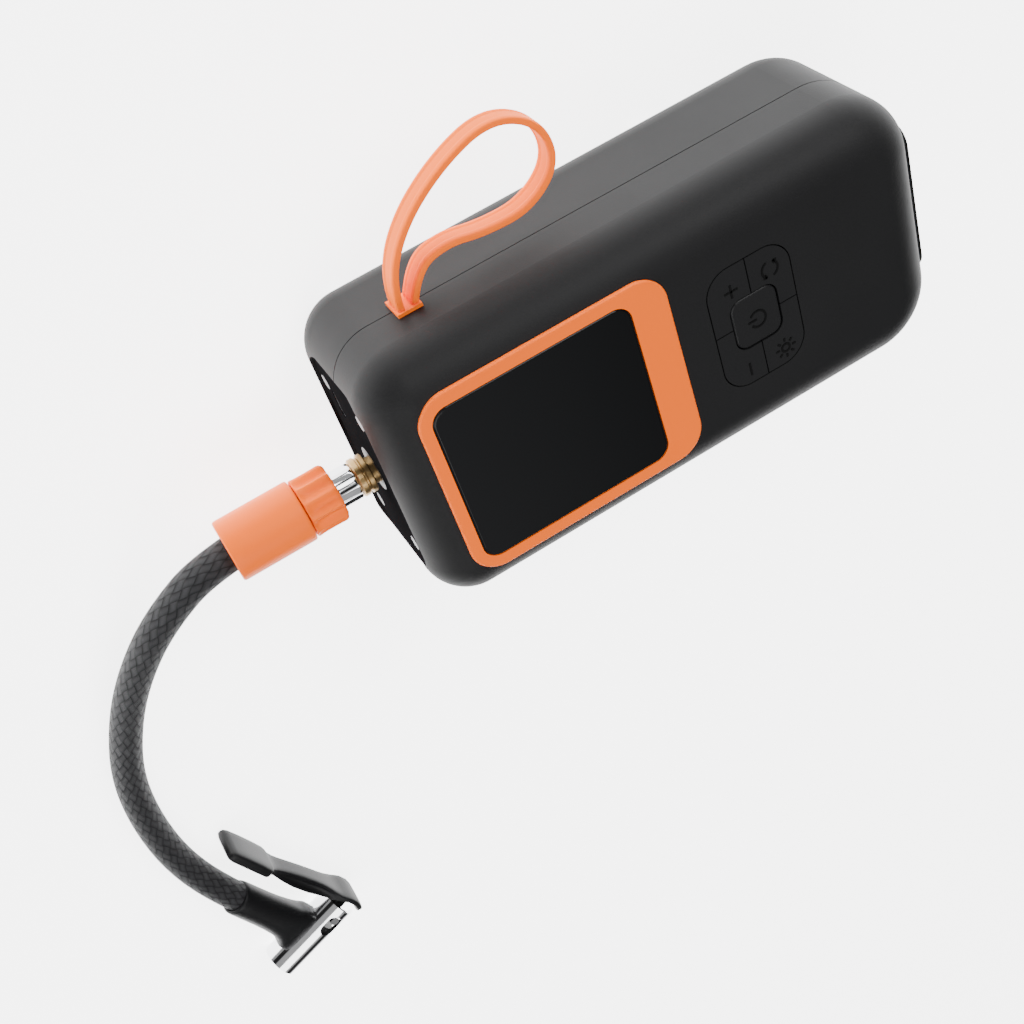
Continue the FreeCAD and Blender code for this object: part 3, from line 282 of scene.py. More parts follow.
@dataclass(frozen=True)
class Metal:
    """Plated, turned or brushed metal with faint tool marks."""

    name: str
    colour: Colour
    roughness: float
    marks: float = 0.0004
    depth: float = 0.000004

    def make(self) -> bpy.types.Material:
        """Build the material."""
        shader = Shader(self.name)
        scratches = shader.grain(self.marks, 4.0)
        smears = shader.grain(0.006, 2.0)
        dim = tuple(part * 0.86 for part in self.colour)
        shader.set(Base_Color=shader.blend(smears, dim, self.colour), Metallic=1.0,
                   Roughness=self.roughness + scratches * 0.05 + smears * 0.05)
        shader.relief(scratches, self.depth)
        return shader.material


@dataclass(frozen=True)
class Clear:
    """Clear or smoked lens plastic over a colour."""

    name: str
    colour: Colour
    alpha: float
    glow: float = 0.0

    def make(self) -> bpy.types.Material:
        """Build the material."""
        shader = Shader(self.name)
        smears = shader.grain(0.012, 3.0)
        shader.set(Base_Color=shader.blend(smears * 0.4, self.colour,
                                           tuple(part * 0.7 for part in self.colour)),
                   Roughness=0.04 + smears * 0.05, Alpha=self.alpha, Coat_Weight=0.6)
        shader.surface.inputs["Coat Roughness"].default_value = 0.03
        if self.glow:
            shader.surface.inputs["Emission Color"].default_value = (*self.colour, 1.0)
            shader.surface.inputs["Emission Strength"].default_value = self.glow
        return shader.material


@dataclass(frozen=True)
class BlackGlass:
    """Polished black-backed display glass whose base colour lightens along Y as a faint painted sheen."""

    name: str
    low: float
    high: float

    def make(self) -> bpy.types.Material:
        """Build the material."""
        shader = Shader(self.name)
        split = shader.node("ShaderNodeSeparateXYZ", inputs={0: shader.place()}).socket.node
        # along runs from 0 at low Y to 1 at high Y; the base colour lightens along it as a painted sheen
        along = (Value(shader, split.outputs[1]) - self.low) / (self.high - self.low)
        smears = shader.grain(0.009, 4.0)
        shader.set(Base_Color=shader.blend(along, (0.004, 0.0042, 0.0046), (0.009, 0.0092, 0.0098)),
                   Roughness=0.035 + smears * 0.05)
        shader.surface.inputs["Specular IOR Level"].default_value = 0.1
        return shader.material


@dataclass(frozen=True)
class Braid:
    """A woven sleeve: two families of flat strands that cross over and under, coloured by weave height as
    a painted highlight on the crowns and painted shade in the low crossings.
    """

    name: str
    strands: int = 12
    pitch: float = 0.0052
    # dark is the painted shade colour of the low crossings, pale the painted highlight colour of the
    # strand crowns
    dark: Colour = (0.001, 0.001, 0.0011)
    pale: Colour = (0.042, 0.042, 0.045)

    def make(self) -> bpy.types.Material:
        """Build the material."""
        shader = Shader(self.name)
        along, around = shader.along_and_around()
        right = around * self.strands + along / self.pitch
        left = around * self.strands - along / self.pitch
        over = ((right.floor() + left.floor()).maths("FLOORED_MODULO", 2.0)).above(0.5)
        crown_right = (right.fraction() * math.pi).sine()
        crown_left = (left.fraction() * math.pi).sine()
        crown = crown_right * over + crown_left * (1 - over)
        threads = ((right * over + left * (1 - over)) * (math.pi * 8)).sine().size()
        height = crown ** 0.6 * 0.8 + threads * 0.2
        # noise that varies how strong the painted highlight on the crowns is
        sheen_patches = shader.grain(0.004, 3.0)
        # base colour: painted highlight on the raised strands, painted shade where they dip under
        shader.set(Base_Color=shader.blend(height * (0.55 + sheen_patches * 0.5), self.dark, self.pale),
                   Roughness=0.66 - height * 0.2)
        shader.surface.inputs["Specular IOR Level"].default_value = 0.12
        shader.relief(height, 0.0005)
        return shader.material


@dataclass(frozen=True)
class Silicone:
    """Soft satin silicone with moulding flow along its length."""

    name: str
    colour: Colour

    def make(self) -> bpy.types.Material:
        """Build the material."""
        shader = Shader(self.name)
        fine = shader.grain(0.0004)
        dust = shader.grain(0.012, 4.0)
        pale = tuple(min(1.0, part * 1.1 + 0.004) for part in self.colour)
        shader.set(Base_Color=shader.blend(dust, self.colour, pale), Roughness=0.5 + dust * 0.14)
        shader.surface.inputs["Subsurface Weight"].default_value = 0.03
        shader.surface.inputs["Subsurface Radius"].default_value = (0.002, 0.001, 0.0005)
        shader.surface.inputs["Specular IOR Level"].default_value = 0.1
        shader.relief(fine, 0.00002)
        return shader.material


@dataclass(frozen=True)
class CircuitBoard:
    """Solder resist with a faint net of copper tracks."""

    name: str

    def make(self) -> bpy.types.Material:
        """Build the material."""
        shader = Shader(self.name)
        cells = shader.node("ShaderNodeTexVoronoi", {"feature": "DISTANCE_TO_EDGE"},
                            {"Vector": shader.place(), "Scale": 350.0})
        tracks = 1 - (cells * 14).maths("MINIMUM", 1.0)
        shader.set(Base_Color=shader.blend(tracks, (0.006, 0.05, 0.028), (0.02, 0.12, 0.06)),
                   Roughness=0.3 + tracks * 0.15)
        shader.relief(tracks, 0.00003)
        return shader.material


@dataclass(frozen=True)
class Backdrop:
    """Even pale studio floor that glows, so that it stays white under soft light."""

    name: str
    colour: Colour
    glow: float = 4.5

    def make(self) -> bpy.types.Material:
        """Build the material."""
        shader = Shader(self.name)
        shade = shader.grain(0.4, 1.0)
        shader.set(Base_Color=shader.blend(shade, self.colour, tuple(c * 0.995 for c in self.colour)),
                   Roughness=0.9)
        shader.surface.inputs["Emission Color"].default_value = (1.0, 1.0, 1.0, 1.0)
        shader.surface.inputs["Emission Strength"].default_value = self.glow
        return shader.material


ORANGE: Colour = (0.98, 0.145, 0.0)
SHELL_BLACK = Moulded("soft_touch_black", (0.0085, 0.0085, 0.009), Gloss.MATT, 0.0004, 0.00003)
TRIM_BLACK = Moulded("moulded_black", (0.0045, 0.0045, 0.005), Gloss.SATIN, 0.0003, 0.00002)
PANEL_BLACK = Moulded("polished_black", (0.006, 0.006, 0.0066), Gloss.GLOSSY, 0.004, 0.000004,
                      specular=0.0)
KEY_BLACK = Moulded("key_black", (0.0095, 0.0095, 0.0101), Gloss.SATIN, 0.00028, 0.00002)
MARK_BLACK = Moulded("raised_mark", (0.0008, 0.0008, 0.0009), Gloss.MATT, 0.0003, 0.00001)
ORANGE_PLASTIC = Moulded("orange_plastic", ORANGE, Gloss.SATIN, 0.0003, 0.000015, 0.04)
ORANGE_RUBBER = Silicone("orange_silicone", ORANGE)
RUBBER = Moulded("black_rubber", (0.01, 0.01, 0.01), Gloss.CHALKY)
NATURAL = Moulded("natural_plastic", (0.62, 0.58, 0.5), Gloss.SATIN)
CHROME = Metal("bright_chrome", (0.86, 0.86, 0.88), 0.05)
BRASS = Metal("turned_brass", (0.46, 0.3, 0.13), 0.26, 0.0003)
DARK_STEEL = Metal("blackened_steel", (0.09, 0.09, 0.095), 0.4)
STEEL = Metal("ground_steel", (0.55, 0.55, 0.57), 0.26)
CASTING = Metal("cast_aluminium", (0.6, 0.61, 0.63), 0.42, 0.0006, 0.00002)
MIRROR = Metal("metallised", (0.9, 0.9, 0.92), 0.06)
LENS = Clear("clear_lens", (0.85, 0.88, 0.92), 0.35)
SMOKED = Clear("smoked_window", (0.07, 0.006, 0.03), 0.96, 0.06)
GLASS = BlackGlass("display_glass", 0.0106, 0.0699)
BRAID = Braid("woven_braid")
BOARD = CircuitBoard("circuit_board")
CELL = Moulded("cell_sleeve", (0.02, 0.09, 0.25), Gloss.SATIN)
FLOOR = Backdrop("studio_floor", (0.93, 0.93, 0.93))

Finish = (Moulded | Metal | Clear | BlackGlass | Braid | Silicone | CircuitBoard | Backdrop)


# ---------------------------------------------------------------- mesh building

@dataclass
class Workshop:
    """What every sub-assembly shares: the frame's nodes and the materials made so far."""

    nodes: dict[str, bpy.types.Object]
    made: dict[str, bpy.types.Material] = field(default_factory=dict)

    def material(self, finish: Finish) -> bpy.types.Material:
        """The material for a finish, made once."""
        if finish.name not in self.made:
            self.made[finish.name] = finish.make()
        return self.made[finish.name]

    def dress(self, finish: Finish, *names: str) -> None:
        """Give carried-over nodes a finish.

        Args:
            finish: what they are made of.
            names: the nodes.
        """
        for name in names:
            data = self.nodes[name].data
            data.materials.clear()
            data.materials.append(self.material(finish))

    def piece(self, name: str, points: Sequence[Vector], faces: Sequence[Sequence[int]],
              body: str, finish: Finish, slot: str,
              turns: Sequence[Sequence[Point]] | None = None,
              smooth: bool = True) -> bpy.types.Object:
        """Make a mesh piece that rides on a body.

        Args:
            name: the piece's name.
            points: its vertices, in metres.
            faces: vertex numbers of each face.
            body: the body that it rides on.
            finish: what it is made of.
            slot: the record's material slot; not used.
            turns: texture coordinates for each face's corners.
            smooth: whether its faces are shaded smooth.

        Returns:
            The new object.
        """
        data = bpy.data.meshes.new(name)
        data.from_pydata([tuple(point) for point in points], [], [tuple(face) for face in faces])
        if turns:
            layer = data.uv_layers.new(name="along_around")
            spots = [spot for face in turns for spot in face]
            for loop, spot in zip(layer.data, spots):
                loop.uv = spot
        for polygon in data.polygons:
            polygon.use_smooth = smooth
        data.materials.append(self.material(finish))
        data.update()
        thing = bpy.data.objects.new(name, data)
        bpy.context.scene.collection.objects.link(thing)
        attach(thing, body)
        return thing


def loft(sections: Sequence[Sequence[Vector]], close: bool = True) -> tuple[list, list]:
    """Skin a row of closed sections.

    Args:
        sections: rings of points, all with the same count.
        close: whether both ends are capped.

    Returns:
        The points and the faces.
    """
    count = len(sections[0])
    points = [point for ring in sections for point in ring]
    faces = []
    for ring in range(len(sections) - 1):
        for step in range(count):
            following = (step + 1) % count
            faces.append((ring * count + step, ring * count + following,
                          (ring + 1) * count + following, (ring + 1) * count + step))
    if close:
        faces.append(tuple(range(count))[::-1])
        faces.append(tuple((len(sections) - 1) * count + step for step in range(count)))
    return points, faces


def rounded(half_across: float, half_up: float, power: float, count: int = 40) -> list[Point]:
    """A superellipse: round at a power of 2, nearly square at 6 and over."""
    outline = []
    for step in range(count):
        turn = 2 * math.pi * step / count
        across, up = math.cos(turn), math.sin(turn)
        outline.append((half_across * math.copysign(abs(across) ** (2 / power), across),
                        half_up * math.copysign(abs(up) ** (2 / power), up)))
    return outline


def smooth_line(name: str, route: Sequence[Spot]) -> list[Vector]:
    """Points along the smooth spline that a route controls.

    Args:
        name: name for the working curve.
        route: its control points, in millimetres.

    Returns:
        The spline's own points, in metres.
    """
    curve = bpy.data.curves.new(name, "CURVE")
    curve.dimensions = "3D"
    curve.resolution_u = 16
    spline = curve.splines.new("NURBS")
    spline.points.add(len(route) - 1)
    for point, spot in zip(spline.points, route):
        point.co = (*(part * MM for part in spot), 1.0)
    spline.order_u = 3
    spline.use_endpoint_u = True
    holder = bpy.data.objects.new(name, curve)
    bpy.context.scene.collection.objects.link(holder)
    bpy.context.view_layer.update()
    line = bpy.data.meshes.new_from_object(holder.evaluated_get(
        bpy.context.evaluated_depsgraph_get()))
    points = [vertex.co.copy() for vertex in line.vertices]
    bpy.data.meshes.remove(line)
    bpy.data.objects.remove(holder)
    return points


def densify(line: Sequence[Vector], step: float) -> list[Vector]:
    """The same line with its points evenly spaced."""
    lengths = [0.0]
    for first, second in zip(line, line[1:]):
        lengths.append(lengths[-1] + (second - first).length)
    count = max(2, round(lengths[-1] / step))
    spaced = []
    index = 0
    for number in range(count + 1):
        distance = lengths[-1] * number / count
        while index < len(line) - 2 and lengths[index + 1] < distance:
            index += 1
        share = (distance - lengths[index]) / max(1e-9, lengths[index + 1] - lengths[index])
        spaced.append(line[index].lerp(line[index + 1], min(1.0, share)))
    return spaced


def sweep(line: Sequence[Vector], outline: Sequence[Point], up: Vector | None = None,
          scale: Callable[[float], float] = lambda share: 1.0) -> tuple[list, list, list]:
    """Carry an outline along a line.

    Args:
        line: the points to follow.
        outline: (sideways, upward) pairs of the closed section.
        up: a fixed upward direction, or None to carry the section without twist.
        scale: section scale at a share of the length.

    Returns:
        The points, the faces and each face's (distance, turn) corners.
    """
    count = len(outline)
    ahead = (line[1] - line[0]).normalized()
    raised = up or ahead.orthogonal().normalized()
    sections = []
    lengths = []
    distance = 0.0
    for index, point in enumerate(line):
        before = line[max(0, index - 1)]
        after = line[min(len(line) - 1, index + 1)]
        heading = (after - before).normalized()
        if up is None:
            raised = ahead.rotation_difference(heading) @ raised
        ahead = heading
        side = heading.cross(raised).normalized()
        grow = scale(index / (len(line) - 1))
        sections.append([point + side * (across * grow) + raised * (rise * grow)
                         for across, rise in outline])
        if index:
            distance += (point - line[index - 1]).length
        lengths.append(distance)
    points, faces = loft(sections)
    corners = []
    for ring in range(len(line) - 1):
        for step in range(count):
            near, far = step / count, (step + 1) / count
            corners.append(((lengths[ring], near), (lengths[ring], far),
                            (lengths[ring + 1], far), (lengths[ring + 1], near)))
    corners.append([(0.0, step / count) for step in range(count)])
    corners.append([(distance, step / count) for step in range(count)])
    return points, faces, corners


def turned_ring(stations: Sequence[tuple[float, float, float]], flutes: int, count: int,
                origin: Vector) -> list[list[Vector]]:
    """Rings of a fluted or plain turned piece along Y.

    Args:
        stations: (distance along, radius, flute depth), in millimetres.
        flutes: number of flutes.
        count: points in each ring.
        origin: a point on the axis, in metres.

    Returns:
        The rings.
    """
    rings = []
    for along, radius, depth in stations:
        ring = []
        for step in range(count):
            turn = 2 * math.pi * step / count
            groove = abs(math.cos(turn * flutes / 2)) ** 1.4 if flutes else 0.0
            reach = (radius - depth * groove) * MM
            ring.append(origin + Vector((reach * math.cos(turn), along * MM, reach * math.sin(turn))))
        rings.append(ring)
    return rings


# ---------------------------------------------------------------- the hose

@dataclass
class Hose:
    """Braided hose between the coupling and the chuck."""

    shop: Workshop
    radius: float = 0.0049
    length: float = 0.205
    route: tuple[Spot, ...] = (
        (-2, 111, 28.5), (-2, 134, 28.5), (-14.5, 153, 24), (-31, 166.5, 17.5),
        (-50, 177.5, 11.4), (-73, 187, 7), (-96, 190.6, 5.5), (-119, 190, 5.5),
        (-140.5, 183.86, 7), (-162.09, 175.38, 7))

    def build(self) -> None:
        """Sweep the sleeve along the hose's line."""
        line = densify(smooth_line("hose_line", self.route), 0.0006)
        points, faces, corners = sweep(line, rounded(self.radius, self.radius, 2, 64))
        tube = self.shop.piece("braided_hose", points, faces, "hose", BRAID, "hose_braid", corners)
        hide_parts("hose")
        pieces = [bpy.data.objects[name] for name in (
            "hose_end_cuff", "chuck_lever_arm", "grip_sleeve")]
        pieces += [self.shop.nodes["chuck_barrel"]]
        [tuple(point) for point in line[::4]] + [tuple(line[-1])]


# ---------------------------------------------------------------- the wrist strap

@dataclass
class WristStrap:
    """Flat silicone loop whose two ends share one plug in the side of the housing."""

    shop: Workshop
    width: float = 0.007
    thickness: float = 0.0022
    length: float = 0.133
    height: float = 31.5
    route: tuple[Point, ...] = (
        (41.8, 60.7), (50.5, 60.4), (63, 52), (72.5, 38), (77.5, 22.5), (70.5, 10.5), (58, 9),
        (49.8, 19.5), (50, 33), (52.6, 43.5), (50, 53), (41.8, 56.7))

    def outline(self) -> list[Point]:
        """The strap's section: a flat bar with round edges and two shallow grooves a side."""
        half, deep = self.width / 2, self.thickness / 2
        shape = []
        for across, up in rounded(deep, half, 5, 72):
            share = abs(abs(up) - 0.42 * half) / (0.16 * half)
            groove = 0.00028 * max(0.0, 1 - share * share) if abs(across) > 0.6 * deep else 0.0
            shape.append((across - math.copysign(groove, across), up))
        return shape

    def build(self) -> None:
        """Sweep the loop and seat it on the plug."""
        spots = tuple((across, along, self.height) for across, along in self.route)
        line = densify(smooth_line("strap_line", spots), 0.0009)
        points, faces, corners = sweep(line, self.outline(), Vector((0, 0, 1)))
        loop = self.shop.piece("strap_loop", points, faces, "housing", ORANGE_RUBBER,
                               "orange_rubber", corners)
        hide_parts("wrist_strap")
        self.shop.dress(ORANGE_RUBBER, "strap_plug")
        [tuple(point) for point in line[::3]] + [tuple(line[-1])]


# ---------------------------------------------------------------- the screw coupling

@dataclass
class ScrewCoupling:
    """Brass stud, chromed nut, fluted grip and the sleeve that holds the hose."""

    shop: Workshop
    nut_pads: int = 9
    grip_flutes: int = 11
    ring_points: int = 192
    axis: Vector = field(default_factory=lambda: Vector((-0.002, 0, 0.0285)))

    def ring(self, name: str, stations: Sequence[tuple[float, float, float]], flutes: int,
             body: str, finish: Finish, slot: str, node: str) -> None:
        """Build one turned piece in place of its node."""
        points, faces = loft(turned_ring(stations, flutes, self.ring_points, self.axis),
                             close=False)
        made = self.shop.piece(name, points, faces, body, finish, slot)
        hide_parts(node)

    def build(self) -> None:
        """Build the nut, the grip and the sleeve."""
        self.ring("fluted_nut", [
            (89.2, 3.3, 0), (89.1, 4.6, 0), (89.2, 5.0, 0.3), (89.6, 5.3, 0.7), (90.4, 5.35, 0.8),
            (92.4, 5.35, 0.8), (94.6, 5.35, 0.8), (95.2, 5.3, 0.7), (96.0, 4.9, 0.2),
            (96.4, 3.3, 0)],
            self.nut_pads, "coupling", CHROME, "chrome", "coupling_nut")
        self.ring("fluted_grip", [
            (96.6, 5.0, 0), (95.5, 5.6, 0), (95.2, 6.0, 0.1), (95.25, 7.6, 0.9), (95.6, 8.3, 1.3),
            (96.4, 8.6, 1.55), (98, 8.55, 1.6), (100, 8.5, 1.6), (102, 8.5, 1.5), (103.6, 8.55, 1.3),
            (104.6, 8.65, 0.7), (105.0, 8.6, 0.3), (105.25, 8.3, 0), (105.3, 6.0, 0),
            (105.3, 3.4, 0)],
            self.grip_flutes, "coupling", ORANGE_PLASTIC, "orange_plastic", "coupling_collar")
        self.ring("grip_sleeve", [
            (105.62, 3.0, 0), (105.62, 8.2, 0), (105.75, 8.7, 0), (106.1, 8.95, 0), (106.8, 9.0, 0),
            (112, 9.0, 0), (118, 9.0, 0), (124, 9.0, 0), (127.2, 9.0, 0), (127.8, 8.9, 0),
            (128.15, 8.6, 0), (128.25, 8.1, 0), (128.1, 6.4, 0), (127.6, 5.5, 0), (126, 5.1, 0),
            (120, 5.0, 0)],
            0, "hose", ORANGE_PLASTIC, "orange_plastic", "hose_sleeve")
        self.shop.dress(BRASS, "coupling_stud")
        self.shop.dress(TRIM_BLACK, "outlet_socket")


# ---------------------------------------------------------------- the valve chuck

@dataclass
class ValveChuck:
    """Chromed barrel, moulded cuff and the lever that clamps a tyre valve.

    Sizes are in millimetres in the chuck's own plane: X back along the hose, Y toward the valve.
    """

    shop: Workshop
    centre: Spot = (-179.3, 168.6, 7.0)
    turn: float = 21.5
    lever: tuple[tuple[float, ...], ...] = (
        (-6.3, -17.8, -5.3, -16.7, 4.9, 0.0), (-6.0, -18.55, -4.8, -16.5, 5.6, 0.0),
        (-5.3, -18.98, -4.15, -17.0, 6.0, 0.0), (-3.63, -19.76, -2.84, -17.6, 6.2, 0.0),
        (-1.48, -20.3, -1.16, -18.02, 6.2, 0.0), (1.84, -20.24, 1.44, -17.97, 6.2, 0.0),
        (3.97, -19.8, 3.11, -17.5, 6.1, 0.0), (5.93, -19.5, 4.64, -16.68, 5.8, 0.0),
        (8.4, -19.45, 7.2, -15.9, 5.2, 0.2), (10.5, -19.45, 9.6, -15.2, 4.6, 0.6),
        (13.5, -19.4, 12.5, -14.5, 4.1, 1.2),
        (18.0, -19.2, 17.0, -13.6, 3.9, 1.4), (24.0, -18.7, 24.0, -13.1, 3.8, 1.4),
        (29.0, -18.1, 29.5, -13.4, 3.8, 1.1), (32.5, -17.6, 33.0, -13.9, 3.9, 0.4),
        (35.0, -17.3, 35.4, -14.3, 4.1, 0.0), (37.2, -17.3, 37.4, -14.2, 4.6, 0.0),
        (38.2, -17.5, 38.2, -13.7, 5.9, 0.0), (39.2, -17.6, 39.2, -13.5, 6.4, 0.0),
        (44.0, -17.7, 44.0, -13.5, 6.5, 0.0), (50.0, -17.7, 50.0, -13.5, 6.5, 0.0),
        (55.0, -17.5, 54.8, -13.5, 6.5, 0.0), (56.6, -17.1, 56.4, -13.8, 6.3, 0.0),
        (57.3, -16.4, 57.2, -14.5, 5.9, 0.0))
    cuff: tuple[tuple[float, ...], ...] = (
        (3.8, 1.0, 7.6, 4.0, 4.5), (5.4, 1.0, 8.3, 5.0, 4.2), (8.2, 0.8, 8.1, 5.5, 3.8),
        (9.8, 0.5, 7.3, 5.8, 3.3), (11.4, 0.2, 6.7, 6.0, 2.8), (14.5, 0.0, 6.3, 6.1, 2.3),
        (19.0, 0.0, 6.1, 6.1, 2.0), (24.0, 0.0, 5.9, 5.9, 2.0), (30.0, 0.0, 5.85, 5.85, 2.0),
        (36.0, 0.0, 5.8, 5.8, 2.0), (37.1, 0.0, 5.65, 5.65, 2.0), (37.5, 0.0, 5.3, 5.3, 2.0),
        (37.4, 0.0, 4.9, 4.9, 2.0))

    def spot(self, across: float, along: float, rise: float) -> Vector:
        """A point of the chuck's plane in the part's frame."""
        spun = Matrix.Rotation(math.radians(self.turn), 3, "Z") @ Vector((across, along, rise))
        return (Vector(self.centre) + spun) * MM

    def lever_sections(self) -> list[list[Vector]]:
        """Sections along the lever, pinched in at the sides where its pockets are."""
        sections = []
        for outer_x, outer_y, inner_x, inner_y, half, pocket in self.lever:
            outer, inner = Vector((outer_x, outer_y)), Vector((inner_x, inner_y))
            middle, reach = (outer + inner) / 2, (outer - inner) / 2
            ring = []
            for across, up in rounded(1.0, half, 5, 56):
                inside = max(0.0, 1 - (across / 0.62) ** 4)
                rise = math.copysign(abs(up) - pocket * inside, up) if abs(up) > 0.7 * half else up
                spot = middle + reach * across
                ring.append(self.spot(spot.x, spot.y, rise))
            sections.append(ring)
        return sections

    def build_web(self) -> None:
        """The lever's web and cam inside the barrel."""
        outline = [(-1.4, -18.6), (3.4, -18.2), (3.2, -13.0)]
        for step in range(25):
            turn = math.radians(60 - step * 12.5)
            outline.append((3.3 * math.cos(turn) - (1.5 if 120 < step * 12.5 < 250 else 0.0),
                            -9.8 + 3.3 * math.sin(turn)))
        rings = []
        for rise, shrink in ((-2.1, 0.94), (-1.9, 1.0), (1.9, 1.0), (2.1, 0.94)):
            rings.append([self.spot(across * shrink, -13 + (along + 13) * shrink, rise)
                          for across, along in outline])
        points, faces = loft(rings)
        self.shop.piece("lever_web", points, faces, "lever", TRIM_BLACK, "black_plastic", smooth=False)

    def build(self) -> None:
        """Build the lever and the cuff and dress the rest."""
        points, faces = loft(self.lever_sections())
        lever = self.shop.piece("chuck_lever_arm", points, faces, "lever", TRIM_BLACK, "black_plastic")
        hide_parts("chuck_lever")
        self.build_web()
        rings = [[self.spot(along, middle + across, up)
                  for across, up in rounded(half, rise, power, 64)]
                 for along, middle, half, rise, power in self.cuff]
        points, faces = loft(rings, close=False)
        cuff = self.shop.piece("hose_end_cuff", points, faces, "hose", TRIM_BLACK, "black_plastic")
        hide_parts("hose_cuff")
        self.shop.dress(CHROME, "chuck_barrel", "lever_pin")
        self.shop.dress(RUBBER, "valve_seal")
        self.shop.dress(TRIM_BLACK, "chuck_plunger")


# ---------------------------------------------------------------- keypad

def strokes(paths: Sequence[Sequence[Point]], width: float, rise: float,
            low: float) -> tuple[list, list]:
    """Raised lines along flat paths.

    Args:
        paths: (x, y) points of each line, in millimetres.
        width: the line's width.
        rise: height of its top face.
        low: height of its foot.

    Returns:
        The points and the faces.
    """
    points: list[Vector] = []
    faces: list[tuple[int, ...]] = []
    for path in paths:
        spots = [Vector(spot) for spot in path]
        count = len(spots)
        base = len(points)
        for index, spot in enumerate(spots):
            before = spots[index - 1] if index else spot
            after = spots[index + 1] if index + 1 < count else spot
            ahead = (after - before).normalized()
            side = Vector((-ahead.y, ahead.x)) * width / 2
            for offset, height in ((side, low), (side * 0.8, rise), (side * -0.8, rise),
                                   (-side, low)):
                points.append(Vector((spot.x + offset.x, spot.y + offset.y, height)) * MM)
        for index in range(count - 1):
            here, there = base + 4 * index, base + 4 * (index + 1)
            for step in range(3):
                faces.append((here + step, here + step + 1, there + step + 1, there + step))
        faces.append((base, base + 1, base + 2, base + 3))
        last = base + 4 * (count - 1)
        faces.append((last + 3, last + 2, last + 1, last))
    return points, faces


def arc(centre: Point, radius: float, start: float, end: float, count: int = 24) -> list[Point]:
    """Points along an arc, with angles in degrees."""
    return [(centre[0] + radius * math.cos(math.radians(start + (end - start) * step / count)),
             centre[1] + radius * math.sin(math.radians(start + (end - start) * step / count)))
            for step in range(count + 1)]


@dataclass
class Keypad:
    """Five moulded keys with raised marks."""

    shop: Workshop
    top: float = 57.0
    stroke: float = 0.72
    plus: Point = (12.0, -18.3)
    minus: Point = (-15.0, -18.9)
    mode: Point = (12.2, -30.8)
    light: Point = (-14.6, -30.7)
    power: Point = (-0.6, -24.3)

    def mark(self, name: str, paths: Sequence[Sequence[Point]], body: str) -> None:
        """Raise one key's mark."""
        points, faces = strokes(paths, self.stroke, self.top + 0.16, self.top - 0.1)
        self.shop.piece(name, points, faces, body, MARK_BLACK, "key_plastic", smooth=False)

    def build(self) -> None:
        """Dress the keys and add the dark mark on each."""
        self.shop.dress(KEY_BLACK, "power_button", "plus_button", "minus_button", "mode_button",
                        "light_button")
        across, up = self.plus
        self.mark("plus_mark", [[(across - 2.1, up), (across + 2.1, up)],
                                [(across, up - 2.1), (across, up + 2.1)]], "plus_key")
        across, up = self.minus
        self.mark("minus_mark", [[(across - 2.1, up), (across + 2.1, up)]], "minus_key")
        turns = [arc(self.mode, 2.5, start, start + 130) for start in (20, 200)]
        heads = []
        for turn in turns:
            tip = Vector(turn[-1])
            ahead = (tip - Vector(turn[-3])).normalized()
            for swing in (150, -150):
                turned, risen = math.cos(math.radians(swing)), math.sin(math.radians(swing))
                barb = Vector((ahead.x * turned - ahead.y * risen,
                               ahead.x * risen + ahead.y * turned))
                heads.append([tuple(tip), tuple(tip + barb * 1.1)])
        self.mark("mode_mark", turns + heads, "mode_key")
        across, up = self.light
        rays = [[(across + inner * math.cos(turn), up + inner * math.sin(turn))
                 for inner in (2.1, 3.2)]
                for turn in (math.pi * step / 4 for step in range(8))]
        self.mark("light_mark", [arc(self.light, 1.25, 0, 360), *rays], "light_key")
        across, up = self.power
        self.mark("power_mark", [arc(self.power, 2.5, 125, 415), [(across, up + 0.4), (across, up + 3.1)]],
                  "power_key")


# ---------------------------------------------------------------- the body and what it holds

@dataclass
class InflatorBody:
    """Housing, display, outlet end, lamp end and the works inside."""

    shop: Workshop

    def build(self) -> None:
        """Dress every node that keeps its own shape."""
        dress = self.shop.dress
        dress(SHELL_BLACK, "front_cover", "rear_cover")
        dress(ORANGE_PLASTIC, "display_bezel")
        dress(GLASS, "display_lens", "lcd_module")
        dress(PANEL_BLACK, "end_panel")
        dress(SMOKED, "indicator_window")
        dress(DARK_STEEL, "end_panel_screws", "usb_port")
        dress(STEEL, "housing_screws", "motor_screws", "head_screws",
              "motor_shaft", "crank_axle", "crank_bearings", "crank_pin", "wrist_pin", "reed_valve",
              "cell_links", "motor_body")
        dress(TRIM_BLACK, "lamp_bezel", "key_retainer", "gearbox_frame", "battery_holder")
        dress(LENS, "lamp_lens")
        dress(MIRROR, "lamp_reflector")
        dress(BOARD, "led_board", "main_board", "key_switches", "pressure_sensor")
        dress(RUBBER, "frame_cushions", "piston_seal", "pressure_tube")
        dress(NATURAL, "crank_gear")
        dress(BRASS, "motor_pinion")
        dress(CASTING, "cylinder", "cylinder_head", "piston", "connecting_rod")
        dress(CELL, "battery_cells")


# ---------------------------------------------------------------- studio

